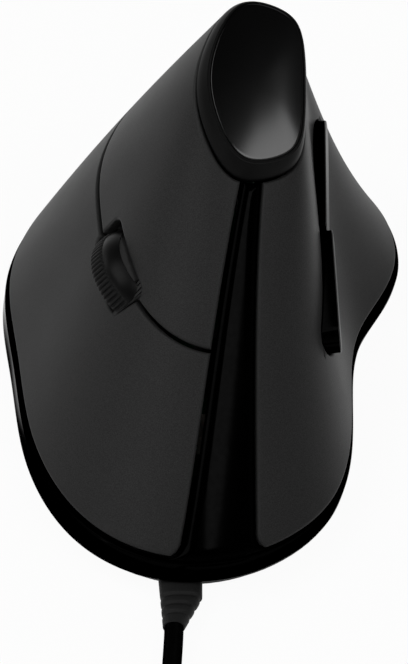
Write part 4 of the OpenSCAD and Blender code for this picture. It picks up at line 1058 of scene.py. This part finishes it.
def smooth_route(points, steps):
    """Points of a smooth curve through the given ones."""
    p = np.array(points, float)
    p = np.concatenate([[2 * p[0] - p[1]], p, [2 * p[-1] - p[-2]]])
    out = []
    for i in range(1, len(p) - 2):
        a, b, c, d = p[i - 1:i + 3]
        for t in np.arange(steps) / steps:
            out.append(0.5 * (2 * b + (c - a) * t + (2 * a - 5 * b + 4 * c - d) * t * t
                              + (3 * b - a - 3 * c + d) * t ** 3))
    return np.array(out + [p[-2]])


cord_route = smooth_route(cord_points, 4) * MM
cord_curve = bpy.data.curves.new("cord", "CURVE")
cord_curve.dimensions = "3D"
cord_curve.bevel_depth = CORD_R * MM
cord_curve.bevel_resolution = 5
cord_curve.use_fill_caps = True
cord_spline = cord_curve.splines.new("POLY")
cord_spline.points.add(len(cord_route) - 1)
for pt, co in zip(cord_spline.points, cord_route):
    pt.co = (*co, 1)
cord_spline.use_smooth = True
cord_curve.materials.append(CORD_BLACK)
cord = bpy.data.objects.new("cord", cord_curve)
bpy.context.scene.collection.objects.link(cord)
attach(cord, "case")
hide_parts("cord_lead", "cord_coil", "cord_tail")

# Plug grip with rounded edges and finger ridges
PLUG_O = np.array(cord_points[-1])
GRIP_L, GRIP_W, GRIP_H = 24.0, 15.0, 8.0
GRIP_RIDGES = (7.5, 9.5, 11.5, 13.5, 15.5)
RIDGE_W, RIDGE_IN, RIDGE_DOWN = 0.35, 0.9, 0.25
GRIP_START, GRIP_END_R, GRIP_STEPS = ((0, 3.0), (0.25, 1.8), (0.8, 0.8)), 1.6, 6


def grip_loop(x, w, h, r=2.0):
    a, b = w / 2 - r, h / 2 - r
    corners = ((a, b, 0), (-a, b, 90), (-a, -b, 180), (a, -b, 270))
    return [PLUG_O + (x, y, z) for cx, cy, start in corners
            for y, z in arc(cx, cy, r, start, start + 90, GRIP_STEPS)]


grip_loops = [grip_loop(x, GRIP_W - d, GRIP_H - d, GRIP_END_R) for x, d in GRIP_START]
for x in np.linspace(1.6, GRIP_L - 1.0, 60):
    ridge = min(1, sum(math.exp(-((x - g) / RIDGE_W) ** 2) for g in GRIP_RIDGES))
    grip_loops.append(grip_loop(x, GRIP_W - RIDGE_IN * ridge, GRIP_H - RIDGE_DOWN * ridge))
grip_loops += [grip_loop(GRIP_L - 0.3, GRIP_W - 0.5, GRIP_H - 0.5),
               grip_loop(GRIP_L, GRIP_W - 1.2, GRIP_H - 1.2, GRIP_END_R)]
grip_verts, grip_faces = capped(grip_loops)
grip = piece("plug_grip_body", grip_verts, grip_faces, "relief_rubber", "case", "plug_grip")

# Floor and world: white background, soft studio light
FLOOR_HALF, FLOOR_DROP, FLOOR_WHITE = 12.0, 0.0002, 0.95
floor_mesh = bpy.data.meshes.new("floor")
floor_corners = [(x * FLOOR_HALF, y * FLOOR_HALF, 0)
                 for x, y in ((-1, -1), (1, -1), (1, 1), (-1, 1))]
floor_mesh.from_pydata(floor_corners, [], [(0, 1, 2, 3)])
floor = bpy.data.objects.new("floor", floor_mesh)
floor.location.z = -FLOOR_DROP
bpy.context.scene.collection.objects.link(floor)
fm = bpy.data.materials.new("floor_white")
fm.use_nodes = True
nt = fm.node_tree
nt.nodes.clear()
out = add(nt, "ShaderNodeOutputMaterial")
diffuse = add(nt, "ShaderNodeBsdfDiffuse", Color=(0.9, 0.9, 0.9, 1))
glow = add(nt, "ShaderNodeEmission", Color=(1, 1, 1, 1), Strength=1.0)
path = add(nt, "ShaderNodeLightPath")
seen = add(nt, "ShaderNodeMath", operation="MAXIMUM")
nt.links.new(path.outputs["Is Camera Ray"], seen.inputs[0])
nt.links.new(path.outputs["Is Transmission Ray"], seen.inputs[1])
both = add(nt, "ShaderNodeMath", operation="MAXIMUM")
nt.links.new(seen.outputs[0], both.inputs[0])
nt.links.new(path.outputs["Is Glossy Ray"], both.inputs[1])
share = add(nt, "ShaderNodeMath", operation="MULTIPLY")
share.inputs[1].default_value = FLOOR_WHITE
nt.links.new(both.outputs[0], share.inputs[0])
mix = add(nt, "ShaderNodeMixShader")
nt.links.new(share.outputs[0], mix.inputs[0])
nt.links.new(diffuse.outputs[0], mix.inputs[1])
nt.links.new(glow.outputs[0], mix.inputs[2])
nt.links.new(mix.outputs[0], out.inputs["Surface"])
floor_mesh.materials.append(fm)

world = bpy.data.worlds.new("studio")
bpy.context.scene.world = world
world.use_nodes = True
nt = world.node_tree
nt.nodes.clear()
out = add(nt, "ShaderNodeOutputWorld")
coord = add(nt, "ShaderNodeTexCoord")
axes = add(nt, "ShaderNodeSeparateXYZ")
nt.links.new(coord.outputs["Generated"], axes.inputs[0])
SKY = [(0.0, grey(0.75)), (0.2, grey(0.55)), (0.5, grey(0.12)), (1.0, grey(0.03))]
sky = ramp(nt, axes.outputs["Z"], SKY)
room = add(nt, "ShaderNodeBackground", Strength=1.0)
nt.links.new(sky.outputs["Color"], room.inputs["Color"])
nt.links.new(room.outputs[0], out.inputs["Surface"])


LAMP_AIM = Vector((0, 0, 0.04))


def area(name, toward, distance, size, radiance):
    """Soft box in a direction from the object, with its brightness as seen from there."""
    d = bpy.data.lights.new(name, "AREA")
    d.shape = "RECTANGLE"
    d.size, d.size_y = size
    d.energy = radiance * math.pi * size[0] * size[1]
    o = bpy.data.objects.new(name, d)
    bpy.context.scene.collection.objects.link(o)
    way = Vector(toward).normalized()
    o.location = LAMP_AIM + way * distance
    o.rotation_mode = "QUATERNION"
    o.rotation_quaternion = (-way).to_track_quat("-Z", "Y")


area("key_left", (-0.5, -0.2, 0.85), 1.1, (0.8, 0.7), 2.6)
area("badge_box", (0.36, -0.45, 0.805), 1.0, (0.6, 0.25), 4.6)
area("back_fill", (0.35, 0.75, 0.6), 1.2, (0.8, 0.5), 1.2)
area("rim_left", (-0.85, 0.35, 0.35), 1.1, (0.5, 0.3), 1.5)
area("spine_strip", (-0.80, -0.50, 0.20), 0.8, (0.06, 0.3), 4.0)
